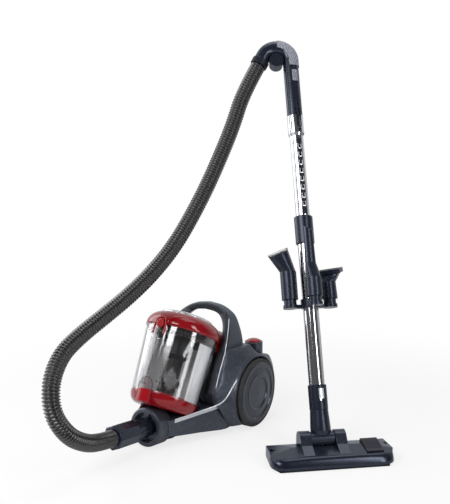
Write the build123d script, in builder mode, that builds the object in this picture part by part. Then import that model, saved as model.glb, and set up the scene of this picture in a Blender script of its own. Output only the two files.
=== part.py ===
from build123d import *
# Canister vacuum cleaner: a bagless canister on two large wheels and a caster, with a lift-off dust bin,
# a flexible hose, a bent handle, a telescopic wand with three accessories on a holder, and a floor head.
# Millimetres, +Z up. The canister points along -Y, the wand leans back from the floor head.
import os
from math import cos, pi, radians, sin, sqrt, tan

os.makedirs("parts", exist_ok=True)

# ---------------------------------------------------------------- clearances
running_gap = 0.05      # shaft in its bore, radial
slide_gap = 0.3         # between pieces that slide or swing past each other
seat_gap = 0.3          # lift-off pieces on their seats

# ---------------------------------------------------------------- layout on the floor
canister_x, canister_y = -181.31, 105.57      # floor point under the rear axle
head_x, head_y = 199.29, 4.27                # middle of the floor head's sole
head_turn = 43.1                            # the head's long axis from +X, degrees
wand_lean = 21.0                            # the wand from upright, degrees
handle_turn = 171.0                         # the handle's bend about the wand, degrees

# ---------------------------------------------------------------- canister sizes
wheel_radius = 82.5
wheel_face_x = 138.5
wheel_width = 27.0
tyre_depth = 8.5
tyre_width = 22.0
axle_radius = 6.0
casing_half_width = 112.0
casing_rear_y = 107.0
casing_wall = 6.0
seam_z = 82.0           # where the casing meets the chassis, at the rear
seam_front_z = 62.0     # and at the nose
seam_level_y = -75.0    # the seam falls towards the nose from here
nose_y = -236.0
chassis_half_width = 105.0
chassis_floor_z = 14.0
floor_wall = 4.0

bin_tilt = 24.0         # the dust bin leans back, degrees
bin_foot_y, bin_foot_z = -195.7, 72.6
bin_radius = 80.0
jar_wall = 2.5
base_height = 30.0
jar_top = 152.0
collar_top = 162.0
lid_top = 204.0
lid_radius = 83.0
lid_rim_radius = 71.0
cap_height = 12.0
bin_lift_angle = 35.0   # the bin leaves its seat forwards and upwards, degrees above level
bin_seat_margin = 1.2
pocket_half_width = 93.0    # the pocket widens in front of the bin's middle
pocket_step = 20.0

inlet_tilt = 5.0
drum_rear_y, drum_rear_z = -222.0, 43.9
drum_radius = 44.0
drum_length = 41.0
socket_radius = 20.3
cuff_end = 150.6        # from the drum's rear, along the inlet

hose_radius = 19.0

caster_y = -190.0
caster_trail = 8.0
caster_wheel_radius = 16.0
caster_wheel_width = 20.0
caster_pin_radius = 5.0
caster_axle_radius = 3.0
caster_house_radius = 29.0
caster_roof_z = 38.0

boss_x, boss_y = 80.0, 70.0
boss_radius = 22.5
boss_top_z = 188.0
button_radius = 16.9
button_travel = 3.0

# ---------------------------------------------------------------- wand, handle and floor head sizes
pivot_x, pivot_y, pivot_z = -13.0, 24.0, 42.0   # the neck's tilt axis, from the middle of the head
neck_bottom, neck_top = 62.0, 117.0             # distances along the wand from the tilt axis
lower_tube_radius = 17.5
lower_tube_wall = 1.1
lower_tube_bottom, lower_tube_top = 80.0, 470.0
upper_tube_radius = 16.0
upper_tube_wall = 1.0
upper_tube_bottom, upper_tube_top = 300.0, 748.0
sleeve_radius = 19.0
sleeve_length = 50.0
rack_bottom, rack_top = 505.0, 690.0
notch_pitch = 20.0
notch_count = 8
latch_bottom, latch_top = 436.0, 502.0
latch_radius = 21.5
handle_plug_bottom = 702.0
bend_start = 893.0
bend_radius = 34.0
bend_angle = 149.0
handle_radius = 18.5
handle_wall = 3.0
hose_leg = 14.0
swivel_ring_length = 16.0
holder_bottom, holder_height = 288.0, 20.0
tool_spacing = 46.0
tool_front = 44.0
tool_radius = 18.5
tool_wall = 2.0
stub_height = 30.0

head_length = 270.0
head_depth = 90.0
head_front_height = 22.0
head_back_height = 34.0
head_wall = 3.0
barrel_radius = 17.0
barrel_length = 54.0
ear_width = 24.0
pedal_x = 92.0
pedal_width = 37.0


def direction(plane, x, y, z):
    """A direction given in a plane's own axes."""
    return plane.from_local_coords(Vector(x, y, z)) - plane.origin


def save(piece, name, place):
    """Label a finished piece, set it in its place and write it."""
    piece.part.label = name
    placed = piece.part.moved(place.location)
    placed.label = name
    export_step(placed, f"parts/{name}.step")


# Planes that carry the groups of pieces. Each group is modelled about its own plane's origin.
canister = Plane(origin=(canister_x, canister_y, 0))
head = Plane(
    origin=(head_x, head_y, 0),
    x_dir=(cos(radians(head_turn)), sin(radians(head_turn)), 0),
    z_dir=(0, 0, 1),
)
wand = Plane(
    origin=head.from_local_coords((pivot_x, pivot_y, pivot_z)),
    x_dir=head.x_dir,
    z_dir=direction(head, 0, sin(radians(wand_lean)), cos(radians(wand_lean))),
)
handle = Plane(
    origin=wand.from_local_coords((0, 0, bend_start)),
    x_dir=direction(wand, cos(radians(handle_turn)), sin(radians(handle_turn)), 0),
    z_dir=wand.z_dir,
)
# Planes within the canister's own frame.
bin_plane = Plane(
    origin=(0, bin_foot_y, bin_foot_z),
    x_dir=(1, 0, 0),
    z_dir=(0, sin(radians(bin_tilt)), cos(radians(bin_tilt))),
)
inlet_plane = Plane(
    origin=(0, drum_rear_y, drum_rear_z),
    x_dir=(1, 0, 0),
    z_dir=(0, -cos(radians(inlet_tilt)), sin(radians(inlet_tilt))),
)


def on_canister(plane):
    """A plane given in the canister's frame, carried to the floor layout."""
    return Plane(
        origin=canister.from_local_coords(plane.origin),
        x_dir=plane.x_dir,
        z_dir=plane.z_dir,
    )


dust_bin = on_canister(bin_plane)
inlet = on_canister(inlet_plane)

# ================================================================ rear wheels
hub_bore = axle_radius + running_gap
disc_radius = wheel_radius - tyre_depth
rim_edge = (wheel_width - tyre_width) / 2
with BuildPart() as wheel_disc:
    with BuildSketch(Plane.XZ):
        with BuildLine():
            Polyline(
                (0, wheel_width - 4), (hub_bore, wheel_width - 4), (hub_bore, 0), (hub_bore + 9, 0),
                (hub_bore + 11, wheel_width / 2), (disc_radius - 8, wheel_width / 2),
                (disc_radius - 6, rim_edge), (disc_radius, rim_edge),
                (disc_radius, wheel_width - rim_edge), (disc_radius - 4, wheel_width - 1),
                (disc_radius - 11, wheel_width - 1), (disc_radius - 13, wheel_width - 3),
                (disc_radius - 27, wheel_width - 1), (disc_radius - 29, wheel_width),
                (disc_radius - 34, wheel_width), (disc_radius - 37, wheel_width - 2.5),
                (0, wheel_width - 1), (0, wheel_width - 4),
            )
        make_face()
    revolve(axis=Axis.Z)

with BuildPart() as tyre:
    with BuildSketch(Plane.XY.offset(rim_edge)):
        Circle(wheel_radius)
        Circle(disc_radius, mode=Mode.SUBTRACT)
    extrude(amount=tyre_width)
    outer_edges = tyre.edges().filter_by(GeomType.CIRCLE).group_by(SortBy.RADIUS)[-1]
    fillet(outer_edges, radius=3.5)

wheel_planes = {}
for side, sign in (("left", 1), ("right", -1)):
    wheel_planes[side] = on_canister(
        Plane(
            origin=(sign * (wheel_face_x - wheel_width), 0, wheel_radius),
            x_dir=(0, sign, 0),
            z_dir=(sign, 0, 0),
        )
    )
    save(wheel_disc, f"{side}_wheel_disc", wheel_planes[side])
    save(tyre, f"{side}_tyre", wheel_planes[side])

# Stub axles, pressed through the chassis walls.
axle_inner_x = chassis_half_width - 17
axle_outer_x = wheel_face_x - 5
axle_bore = axle_radius + running_gap
with BuildPart() as wheel_axles:
    for sign in (1, -1):
        with BuildSketch(Plane.YZ.offset(sign * axle_inner_x)):
            with Locations((0, wheel_radius)):
                Circle(axle_radius)
        extrude(amount=sign * (axle_outer_x - axle_inner_x))
save(wheel_axles, "wheel_axles", canister)

# ================================================================ chassis
tray_half_width = chassis_half_width - 9
tray_front_y = -92.0
tray_rear_y = casing_rear_y - 19
seam_slope = (seam_z - seam_front_z) / (seam_level_y - nose_y)
bin_bore = bin_radius + bin_seat_margin


def seam_height(y):
    """Height of the seam line at a place along the canister."""
    return seam_z + min(0, y - seam_level_y) * seam_slope


grille_width, grille_height, grille_z = 88.0, 40.0, 54.0
outlet_x, outlet_radius = 61.0, 9.0
screw_x, screw_y, screw_seat_z = 75.0, -104.0, 58.0
screw_head_radius, screw_radius, screw_length = 4.0, 2.0, 36.0


def bin_pocket(plan_radius):
    """The dust bin's seat: round behind, straight and wide in front, up to the top of the lid."""
    with BuildPart() as pocket:
        with BuildSketch(bin_plane.offset(-seat_gap)):
            Circle(plan_radius)
            with Locations((0, (pocket_step - 150) / 2)):
                Rectangle(2 * pocket_half_width, pocket_step + 150)
        extrude(amount=lid_top + cap_height)
    return pocket.part


with BuildPart() as chassis:
    with BuildSketch(Plane.YZ):
        with BuildLine():
            Polyline(
                (nose_y, 26), (nose_y, seam_front_z), (seam_level_y, seam_z),
                (casing_rear_y - 3, seam_z), (casing_rear_y - 3, 28), (casing_rear_y - 17, chassis_floor_z),
                (-105, chassis_floor_z), (-160, 20), (nose_y, 26),
            )
        make_face()
    extrude(amount=chassis_half_width, both=True)
    with BuildSketch(Plane.XY):
        with BuildLine() as plan:
            Polyline(
                (0, nose_y), (40, nose_y), (52, nose_y + 12), (chassis_half_width, tray_front_y),
                (chassis_half_width, 66), (78, casing_rear_y - 3), (0, casing_rear_y - 3),
            )
            mirror(about=Plane.YZ)
        make_face()
    extrude(amount=seam_z + 1, mode=Mode.INTERSECT)
    # The tray for the motor and the cord reel.
    with BuildSketch(Plane.XY.offset(chassis_floor_z + floor_wall)):
        with BuildLine():
            Polyline(
                (-tray_half_width, tray_front_y + 6), (tray_half_width, tray_front_y + 6),
                (tray_half_width, 62), (72, tray_rear_y), (-72, tray_rear_y),
                (-tray_half_width, 62), (-tray_half_width, tray_front_y + 6),
            )
        make_face()
    extrude(amount=seam_z, mode=Mode.SUBTRACT)
    # Bosses for the stub axles.
    for sign in (1, -1):
        with BuildSketch(Plane.YZ.offset(sign * axle_inner_x)):
            with Locations((0, wheel_radius - 22)):
                Rectangle(34, 42)
        extrude(amount=sign * (chassis_half_width - axle_inner_x))
        with BuildSketch(Plane.YZ.offset(sign * axle_inner_x)):
            with Locations((0, wheel_radius)):
                Circle(axle_radius)
        extrude(amount=sign * 40, mode=Mode.SUBTRACT)
    # Window of the exhaust grille, hole of the cord outlet, and the screw holes.
    with BuildSketch(Plane.XZ.offset(-casing_rear_y)):
        with Locations((0, grille_z)):
            Rectangle(grille_width, grille_height)
        with Locations((-outlet_x, grille_z)):
            Circle(outlet_radius)
    extrude(amount=30, mode=Mode.SUBTRACT)
    with BuildSketch(Plane.XY):
        with Locations((screw_x, screw_y), (-screw_x, screw_y)):
            Circle(screw_head_radius + running_gap)
    extrude(amount=screw_seat_z, mode=Mode.SUBTRACT)
    with BuildSketch(Plane.XY):
        with Locations((screw_x, screw_y), (-screw_x, screw_y)):
            Circle(screw_radius + running_gap)
    extrude(amount=seam_z, mode=Mode.SUBTRACT)
    # The seat of the dust bin, the drum's saddle, and the caster's housing.
    with BuildSketch(bin_plane.offset(-seat_gap)):
        Circle(bin_bore)
    extrude(amount=200, mode=Mode.SUBTRACT)
    with BuildSketch(inlet_plane):
        Circle(drum_radius)
    extrude(amount=drum_length + 20, mode=Mode.SUBTRACT)
    with BuildSketch(Plane.XY):
        with Locations((0, caster_y)):
            Circle(caster_house_radius + 2)
    extrude(amount=caster_roof_z, mode=Mode.SUBTRACT)
    with BuildSketch(Plane.XY.offset(caster_roof_z)):
        with Locations((0, caster_y)):
            Circle(caster_pin_radius + running_gap)
    extrude(amount=20, mode=Mode.SUBTRACT)
save(chassis, "chassis", canister)

# Bright strips along the top edge of each side rail, from the nose to the wheel.
strip_depth, strip_height = 1.6, 6.0
rail_start = Vector(52, nose_y + 12, 0)
rail_end = Vector(chassis_half_width, tray_front_y, 0)
along = (rail_end - rail_start).normalized()
rail_length = (rail_end - rail_start).length
with BuildPart() as trim_strips:
    with BuildSketch(Plane(origin=rail_start, x_dir=along, z_dir=(along.Y, -along.X, 0))):
        with BuildLine():
            low, high = seam_height(rail_start.Y) - 0.5, seam_height(rail_end.Y) - 0.5
            Polyline(
                (2, low - strip_height), (2, low), (rail_length, high),
                (rail_length, high - strip_height - 3), (2, low - strip_height),
            )
        make_face()
    extrude(amount=strip_depth)
    mirror(about=Plane.YZ)
save(trim_strips, "trim_strips", canister)

# ================================================================ nose drum and caster
recess_radius, recess_depth = 34.0, 14.0
with BuildPart() as nose_drum:
    with BuildSketch(inlet_plane):
        Circle(drum_radius)
    extrude(amount=drum_length)
    chamfer(nose_drum.faces().sort_by(Axis.Y)[0].edges(), length=3)
    with BuildSketch(inlet_plane.offset(drum_length - recess_depth)):
        Circle(recess_radius)
    extrude(amount=recess_depth, mode=Mode.SUBTRACT)
    # Three lugs stand in the recess round the socket.
    with BuildSketch(inlet_plane.offset(drum_length - recess_depth)):
        with PolarLocations((recess_radius + socket_radius + 4) / 2, 3, start_angle=90):
            Rectangle(recess_radius - socket_radius - 4, 12)
    extrude(amount=recess_depth - 4)
    with BuildSketch(inlet_plane.offset(4)):
        Circle(socket_radius)
    extrude(amount=drum_length, mode=Mode.SUBTRACT)
    with BuildSketch(bin_plane.offset(-seat_gap)):
        Circle(bin_bore + 20)
    extrude(amount=200, mode=Mode.SUBTRACT)
save(nose_drum, "nose_drum", canister)

with BuildPart() as caster_fork:
    with BuildSketch(Plane.XY.offset(6)):
        Circle(caster_house_radius)
    extrude(amount=caster_roof_z - slide_gap - 6)
    chamfer(caster_fork.faces().sort_by(Axis.Z)[0].edges(), length=5)
    with BuildSketch(Plane.XY):
        with Locations((0, caster_trail)):
            Rectangle(caster_wheel_width + 2 * slide_gap, 2 * caster_house_radius + 20)
    extrude(amount=caster_roof_z - 4, mode=Mode.SUBTRACT)
    with BuildSketch(Plane.YZ.offset(-caster_house_radius)):
        with Locations((caster_trail, caster_wheel_radius)):
            Circle(caster_axle_radius + running_gap)
    extrude(amount=2 * caster_house_radius, mode=Mode.SUBTRACT)
    with BuildSketch(Plane.XY.offset(caster_roof_z - slide_gap)):
        Circle(caster_pin_radius)
    extrude(amount=18)
with BuildPart() as caster_wheel:
    with BuildSketch(Plane.YZ.offset(-caster_wheel_width / 2)):
        Circle(caster_wheel_radius)
    extrude(amount=caster_wheel_width)
    fillet(caster_wheel.edges(), radius=3)
    with BuildSketch(Plane.YZ.offset(-caster_house_radius + 7)):
        Circle(caster_axle_radius)
    extrude(amount=2 * caster_house_radius - 14)
caster = on_canister(Plane(origin=(0, caster_y, 0)))
caster_axle = on_canister(Plane(origin=(0, caster_y + caster_trail, caster_wheel_radius)))
save(caster_fork, "caster_fork", caster)
save(caster_wheel, "caster_wheel", caster_axle)

# ================================================================ upper casing and carry handle
# The side outline of the casing: two cheeks lean back beside the bin, then the deck falls to the rear.
cheek_front_y = -126.0
cheek_top = (-104.0, 165.0)
shoulder_top = (-28.0, 206.0)
well_radius = wheel_radius + 4
well_inner_x = wheel_face_x - wheel_width - 4.5
saddle_half_width = 75.0
saddle_z = 183.0
saddle_rear_y = -6.0
arch_half_width = 108.0
arch_crown_z = 297.0
arch_thickness = 17.0

with BuildPart() as casing:
    with BuildSketch(Plane.YZ):
        with BuildLine():
            Spline(
                (cheek_front_y, seam_height(cheek_front_y)), (-120, 100), (-114, 130), cheek_top,
            )
            Line(cheek_top, shoulder_top)
            Spline(shoulder_top, (40, 186), (88, 145), (casing_rear_y, seam_z))
            Polyline(
                (casing_rear_y, seam_z), (seam_level_y, seam_z),
                (cheek_front_y, seam_height(cheek_front_y)),
            )
        make_face()
    extrude(amount=casing_half_width, both=True)
    with BuildSketch(Plane.XZ):
        with BuildLine():
            Polyline(
                (0, 60), (casing_half_width - 3, 60), (casing_half_width, 130), (98, 210), (0, 210),
            )
            mirror(about=Plane.YZ)
        make_face()
    extrude(amount=200, both=True, mode=Mode.INTERSECT)
    with BuildSketch(Plane.XY):
        with BuildLine():
            Polyline(
                (0, -140), (102, -140), (casing_half_width, -60), (casing_half_width, 50), (100, 84),
                (72, casing_rear_y), (0, casing_rear_y),
            )
            mirror(about=Plane.YZ)
        make_face()
    extrude(amount=250, mode=Mode.INTERSECT)
    # Room for the motor and the cord reel.
    with BuildSketch(Plane.YZ):
        with BuildLine():
            Polyline(
                (tray_front_y + 6, seam_z), (-62, 150), (-44, saddle_z - 6), (38, saddle_z - 6),
                (82, 134), (casing_rear_y - 9, seam_z), (tray_front_y + 6, seam_z),
            )
        make_face()
    extrude(amount=well_inner_x - casing_wall, both=True, mode=Mode.SUBTRACT)
    # The dust bin's pocket, and the saddle for the duct behind its lid.
    add(bin_pocket(lid_radius + bin_seat_margin), mode=Mode.SUBTRACT)
    with BuildSketch(Plane.XY.offset(saddle_z)):
        with Locations((0, (saddle_rear_y - 150) / 2)):
            Rectangle(2 * saddle_half_width, saddle_rear_y + 150)
    extrude(amount=60, mode=Mode.SUBTRACT)
    # Wheel wells.
    for sign in (1, -1):
        with BuildSketch(Plane.YZ.offset(sign * well_inner_x)):
            with Locations((0, wheel_radius)):
                Circle(well_radius)
        extrude(amount=sign * 40, mode=Mode.SUBTRACT)
        with BuildSketch(Plane.YZ.offset(sign * 60)):
            with Locations((0, wheel_radius)):
                Circle(axle_bore)
        extrude(amount=sign * 90, mode=Mode.SUBTRACT)
    with BuildSketch(Plane.XY):
        with Locations((screw_x, screw_y), (-screw_x, screw_y)):
            Circle(screw_radius + running_gap)
    extrude(amount=screw_seat_z + screw_length + 1, mode=Mode.SUBTRACT)
    # Wells for the two foot buttons.
    for sign in (1, -1):
        with BuildSketch(Plane.XY.offset(seam_z + 66)):
            with Locations((sign * boss_x, boss_y)):
                Circle(boss_radius)
        extrude(amount=60, mode=Mode.SUBTRACT)

with BuildPart() as carry_handle:
    with BuildSketch(Plane.YZ):
        with BuildLine():
            Polyline(
                cheek_top, (-67, 249), (-50, arch_crown_z), (-22, arch_crown_z), (-17, 250),
                shoulder_top, cheek_top,
            )
        make_face()
    extrude(amount=arch_half_width, both=True)
    with BuildSketch(Plane.XZ):
        with BuildLine():
            Line((104, 160), (arch_half_width, 215))
            Spline(
                (arch_half_width, 215), (106, 250), (88, 282), (48, arch_crown_z - 2), (0, arch_crown_z),
                tangents=((0, 1), (-1, 0)),
            )
            Line((0, arch_crown_z), (0, arch_crown_z - arch_thickness))
            Spline(
                (0, arch_crown_z - arch_thickness), (44, arch_crown_z - arch_thickness - 3), (76, 266),
                (arch_half_width - 18, 238), (arch_half_width - 20, 205),
                tangents=((1, 0), (0, -1)),
            )
            Polyline((arch_half_width - 20, 205), (84, 160), (104, 160))
        make_face()
    extrude(amount=200, both=True, mode=Mode.INTERSECT)
    mirror(about=Plane.YZ)
    add(bin_pocket(lid_radius + bin_seat_margin), mode=Mode.SUBTRACT)
    with BuildSketch(Plane.XY.offset(saddle_z)):
        with Locations((0, (saddle_rear_y - 150) / 2)):
            Rectangle(2 * saddle_half_width, saddle_rear_y + 150)
    extrude(amount=arch_crown_z - arch_thickness - 14 - saddle_z, mode=Mode.SUBTRACT)
save(casing, "casing", canister)
save(carry_handle, "carry_handle", canister)

# ================================================================ dust bin, about its own axis
base_floor = 3.5
base_bottom_radius = 62.0
jar_inner = bin_radius - jar_wall
with BuildPart() as bin_base:
    with BuildSketch(Plane.XZ):
        with BuildLine():
            Polyline((0, 0), (base_bottom_radius, 0))
            ThreePointArc(
                (base_bottom_radius, 0), (bin_radius - 5, 8), (bin_radius, base_height - 4),
            )
            Polyline(
                (bin_radius, base_height - 4), (bin_radius, base_height), (jar_inner - 0.3, base_height),
                (jar_inner - 0.3, base_height + 6), (jar_inner - 3, base_height + 6),
                (jar_inner - 3, base_height - 4), (base_bottom_radius - 2, base_floor),
                (0, base_floor), (0, 0),
            )
        make_face()
    revolve(axis=Axis.Z)
    # The flat that the latch lies in, and the hinge lugs at the back.
    with BuildSketch(Plane.XZ.offset(bin_radius - 2)):
        with Locations((0, 22)):
            Rectangle(42, 36)
    extrude(amount=20, mode=Mode.SUBTRACT)

latch_width, latch_foot, latch_head = 38.0, 8.0, 44.0
latch_pivot_z = 28.0
with BuildPart() as base_latch:
    with BuildSketch(Plane.XY.offset(latch_foot)):
        Circle(bin_radius + 3)
        Circle(bin_radius + slide_gap, mode=Mode.SUBTRACT)
        with Locations((0, -bin_radius)):
            Rectangle(latch_width, 40, mode=Mode.INTERSECT)
    extrude(amount=latch_head - latch_foot)
    chamfer(base_latch.faces().sort_by(Axis.Z)[-1].edges().sort_by(SortBy.LENGTH)[0:2], length=2)

with BuildPart() as bin_jar:
    with BuildSketch(Plane.XZ):
        with BuildLine():
            Polyline(
                (jar_inner, base_height), (bin_radius, base_height), (bin_radius, jar_top - 4),
                (bin_radius + 2, jar_top - 2), (bin_radius + 2, jar_top + 2), (bin_radius + 0.5, jar_top + 3),
                (bin_radius + 0.5, collar_top), (jar_inner, collar_top), (jar_inner, base_height),
            )
        make_face()
    revolve(axis=Axis.Z)

# Lid: a red ring with a floor that carries the cyclone, and a clear cap over the filter.
lid_floor = collar_top
lid_bore = lid_rim_radius - 5
button_height = 179.0
bin_button_radius = 11.5
rod_x, rod_y, rod_radius = -20.0, -55.0, 5.0
with BuildPart() as bin_lid:
    with BuildSketch(Plane.XZ):
        with BuildLine():
            Polyline(
                (0, lid_floor), (lid_radius - 1, lid_floor), (lid_radius, lid_floor + 2),
                (lid_radius, lid_floor + 22),
            )
            ThreePointArc(
                (lid_radius, lid_floor + 22), (lid_radius - 3.5, lid_top - 7), (lid_rim_radius, lid_top),
            )
            Polyline(
                (lid_rim_radius, lid_top), (lid_bore, lid_top), (lid_bore, lid_floor + 4),
                (0, lid_floor + 4), (0, lid_floor),
            )
        make_face()
    revolve(axis=Axis.Z)
    # Boss and well of the round button at the front.
    with BuildSketch(Plane.XZ.offset(lid_radius - 14)):
        with Locations((0, button_height)):
            Circle(bin_button_radius + 4.5)
    extrude(amount=17)
    with BuildSketch(Plane.XZ.offset(lid_radius - 8)):
        with Locations((0, button_height)):
            Circle(bin_button_radius + slide_gap)
    extrude(amount=20, mode=Mode.SUBTRACT)
    # Hole for the release rod.
    with BuildSketch(Plane.XY.offset(lid_floor - 1)):
        with Locations((rod_x, rod_y)):
            Circle(rod_radius + slide_gap)
    extrude(amount=6, mode=Mode.SUBTRACT)

with BuildPart() as bin_button:
    with BuildSketch(Plane.XZ.offset(lid_radius - 5)):
        with Locations((0, button_height)):
            Circle(bin_button_radius)
    extrude(amount=9)
    fillet(bin_button.faces().sort_by(Axis.Y)[0].edges(), radius=2.5)

with BuildPart() as release_rod:
    with BuildSketch(Plane.XY.offset(base_height + 12)):
        with Locations((rod_x, rod_y)):
            Circle(rod_radius)
    extrude(amount=lid_floor + 8 - base_height - 12)
    with BuildSketch(Plane.XY.offset(base_height + 46)):
        with Locations((rod_x, rod_y)):
            Circle(rod_radius + 1.5)
    extrude(amount=40)

cap_radius = lid_rim_radius - 4


def dome_height(plan_radius, rise, distance):
    """Height of a shallow dome above its rim, at a distance from its axis."""
    ball = (plan_radius**2 + rise**2) / (2 * rise)
    return sqrt(ball**2 - distance**2) - (ball - rise)


def dome_arc(plan_radius, rise, rim_z):
    """Half the section of a shallow dome, from its rim to its crown."""
    half_way = plan_radius / 2
    return ThreePointArc(
        (plan_radius, rim_z), (half_way, rim_z + dome_height(plan_radius, rise, half_way)),
        (0, rim_z + rise),
    )


with BuildPart() as lid_cap:
    with BuildSketch(Plane.XZ):
        with BuildLine():
            Polyline(
                (0, lid_top - 2), (lid_bore - 0.2, lid_top - 2), (lid_bore - 0.2, lid_top),
                (cap_radius + 2, lid_top), (cap_radius, lid_top + 3),
            )
            dome_arc(cap_radius, cap_height - 3, lid_top + 3)
            Line((0, lid_top + cap_height), (0, lid_top - 2))
        make_face()
    revolve(axis=Axis.Z)
    with BuildSketch(Plane.XZ):
        with BuildLine():
            Line((0, lid_top - 2), (lid_bore - 3, lid_top - 2))
            Line((lid_bore - 3, lid_top - 2), (lid_bore - 3, lid_top + 1))
            dome_arc(lid_bore - 3, cap_height - 4, lid_top + 1)
            Line((0, lid_top + cap_height - 3), (0, lid_top - 2))
        make_face()
    revolve(axis=Axis.Z, mode=Mode.SUBTRACT)

with BuildPart() as motor_filter:
    with BuildSketch(Plane.XY.offset(lid_floor + 4)):
        Circle(lid_bore - 1)
        with Locations((rod_x, rod_y)):
            Rectangle(30, 40, mode=Mode.SUBTRACT)
    extrude(amount=lid_top - lid_floor - 14)

shroud_radius, column_radius, skirt_radius = 70.0, 27.0, 39.0
with BuildPart() as lid_skirt:
    with BuildSketch(Plane.XY.offset(lid_floor - 16)):
        Circle(shroud_radius)
        Circle(shroud_radius - 3, mode=Mode.SUBTRACT)
        with Locations((rod_x, rod_y)):
            Circle(rod_radius + 4, mode=Mode.SUBTRACT)
    extrude(amount=16)
    with BuildSketch(Plane.XY.offset(lid_floor - 15)):
        with PolarLocations(shroud_radius + 0.5, 40):
            Rectangle(2, 2.4)
        with Locations((rod_x, rod_y)):
            Circle(rod_radius + 7, mode=Mode.SUBTRACT)
    extrude(amount=13)

with BuildPart() as cyclone:
    with BuildSketch(Plane.XZ):
        with BuildLine():
            Polyline(
                (0, lid_floor), (column_radius + 8, lid_floor), (column_radius + 8, 112),
                (column_radius, 104), (column_radius - 3, 70), (skirt_radius, 62), (skirt_radius, 58),
                (column_radius - 5, 64), (column_radius - 10, 58), (0, 58), (0, lid_floor),
            )
        make_face()
    revolve(axis=Axis.Z)
    # Air slots round the upper column, and two legs down to the base.
    with BuildSketch(Plane.XY.offset(118)):
        with PolarLocations(column_radius + 7, 12):
            Rectangle(8, 6)
    extrude(amount=lid_floor - 128, mode=Mode.SUBTRACT)
    with BuildSketch(Plane.XY.offset(base_height + 8)):
        with Locations((-11, 0), (13, 0)):
            Rectangle(9, 26)
    extrude(amount=62 - base_height - 8)

# The duct that leads from the lid to the motor, standing behind the lid.
duct_half_width = 70.0
with BuildPart() as lid_duct:
    with BuildSketch(Plane.YZ):
        with BuildLine():
            Polyline(
                (-90, 246), (-62, 242), (-22, 231), (saddle_rear_y - 3, 218),
                (saddle_rear_y - 3, saddle_z + seat_gap), (-62, saddle_z + seat_gap), (-90, 246),
            )
        make_face()
    extrude(amount=duct_half_width, both=True)
    fillet(lid_duct.faces().sort_by(Axis.X)[0].edges().group_by(Axis.Z)[-1], radius=6)
    fillet(lid_duct.faces().sort_by(Axis.X)[-1].edges().group_by(Axis.Z)[-1], radius=6)
    with BuildSketch(bin_plane):
        Circle(lid_radius + seat_gap)
    extrude(amount=lid_top + 60, mode=Mode.SUBTRACT)

for piece, name in (
    (bin_base, "bin_base"), (base_latch, "base_latch"), (bin_jar, "bin_jar"), (bin_lid, "bin_lid"),
    (bin_button, "bin_button"), (release_rod, "release_rod"), (lid_cap, "lid_cap"),
    (motor_filter, "motor_filter"), (lid_skirt, "lid_skirt"), (cyclone, "cyclone"),
):
    save(piece, name, dust_bin)
save(lid_duct, "lid_duct", canister)

# ================================================================ inside the canister
machine_y, machine_z = 8.0, 92.0
can_radius, can_wall, can_start_x, can_end_x = 50.0, 3.0, -19.0, 72.0
shaft_radius = 4.0
fan_radius, fan_start_x, fan_height = 43.0, 48.0, 14.0
reel_radius, reel_hub_radius, reel_start_x, reel_end_x = 62.0, 22.0, -84.0, -30.0
bracket_thickness = 5.0
reel_pin_radius = 6.0
tray_floor_z = chassis_floor_z + floor_wall
machine_axis = Plane(origin=(0, machine_y, machine_z), x_dir=(0, 1, 0), z_dir=(1, 0, 0))

with BuildPart() as inner_bracket:
    with BuildSketch(Plane.YZ.offset(can_start_x)):
        with BuildLine():
            Polyline(
                (machine_y - 52, tray_floor_z), (machine_y - 44, machine_z + 30),
                (machine_y - 20, machine_z + 56), (machine_y + 20, machine_z + 56),
                (machine_y + 44, machine_z + 30), (machine_y + 52, tray_floor_z),
                (machine_y - 52, tray_floor_z),
            )
        make_face()
    extrude(amount=-bracket_thickness)
    with BuildSketch(machine_axis.offset(can_start_x)):
        Circle(reel_pin_radius)
    extrude(amount=-(can_start_x - reel_start_x) - 1)
    with BuildSketch(machine_axis.offset(can_start_x - bracket_thickness)):
        Circle(14)
    extrude(amount=-(can_start_x - bracket_thickness - reel_end_x - slide_gap))
    # A cradle under the motor can.
    with BuildSketch(Plane.YZ.offset(can_start_x)):
        with Locations((machine_y, tray_floor_z + 16)):
            Rectangle(64, 32)
        with Locations((machine_y, machine_z)):
            Circle(can_radius, mode=Mode.SUBTRACT)
    extrude(amount=60)

with BuildPart() as motor_can:
    with BuildSketch(machine_axis.offset(can_start_x)):
        Circle(can_radius)
    extrude(amount=can_end_x - can_start_x)
    fillet(motor_can.edges().sort_by(Axis.X)[-1], radius=6)
    with BuildSketch(machine_axis.offset(can_start_x + can_wall)):
        Circle(can_radius - can_wall)
    extrude(amount=can_end_x - can_start_x - 2 * can_wall, mode=Mode.SUBTRACT)
    with BuildSketch(machine_axis.offset(can_start_x)):
        Circle(shaft_radius + running_gap)
    extrude(amount=can_wall, mode=Mode.SUBTRACT)
    with BuildSketch(machine_axis.offset(can_end_x - can_wall)):
        Circle(shaft_radius + running_gap)
        with PolarLocations(20, 6):
            Circle(6)
    extrude(amount=can_wall, mode=Mode.SUBTRACT)

with BuildPart() as motor_rotor:
    with BuildSketch(machine_axis.offset(can_start_x + slide_gap)):
        Circle(shaft_radius)
    extrude(amount=can_end_x - can_start_x - slide_gap)
    with BuildSketch(machine_axis.offset(0)):
        Circle(26)
        with PolarLocations(26, 12):
            Rectangle(8, 4, mode=Mode.SUBTRACT)
    extrude(amount=42)
    with BuildSketch(machine_axis.offset(-12)):
        Circle(14)
    extrude(amount=12)
    # The fan at the far end of the shaft.
    with BuildSketch(machine_axis.offset(fan_start_x)):
        Circle(fan_radius)
    extrude(amount=2)
    with BuildSketch(machine_axis.offset(fan_start_x)):
        Circle(9)
    extrude(amount=fan_height)
    with BuildSketch(machine_axis.offset(fan_start_x)):
        with PolarLocations(26, 9):
            Rectangle(32, 1.6, rotation=28)
    extrude(amount=fan_height - 2)

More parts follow.
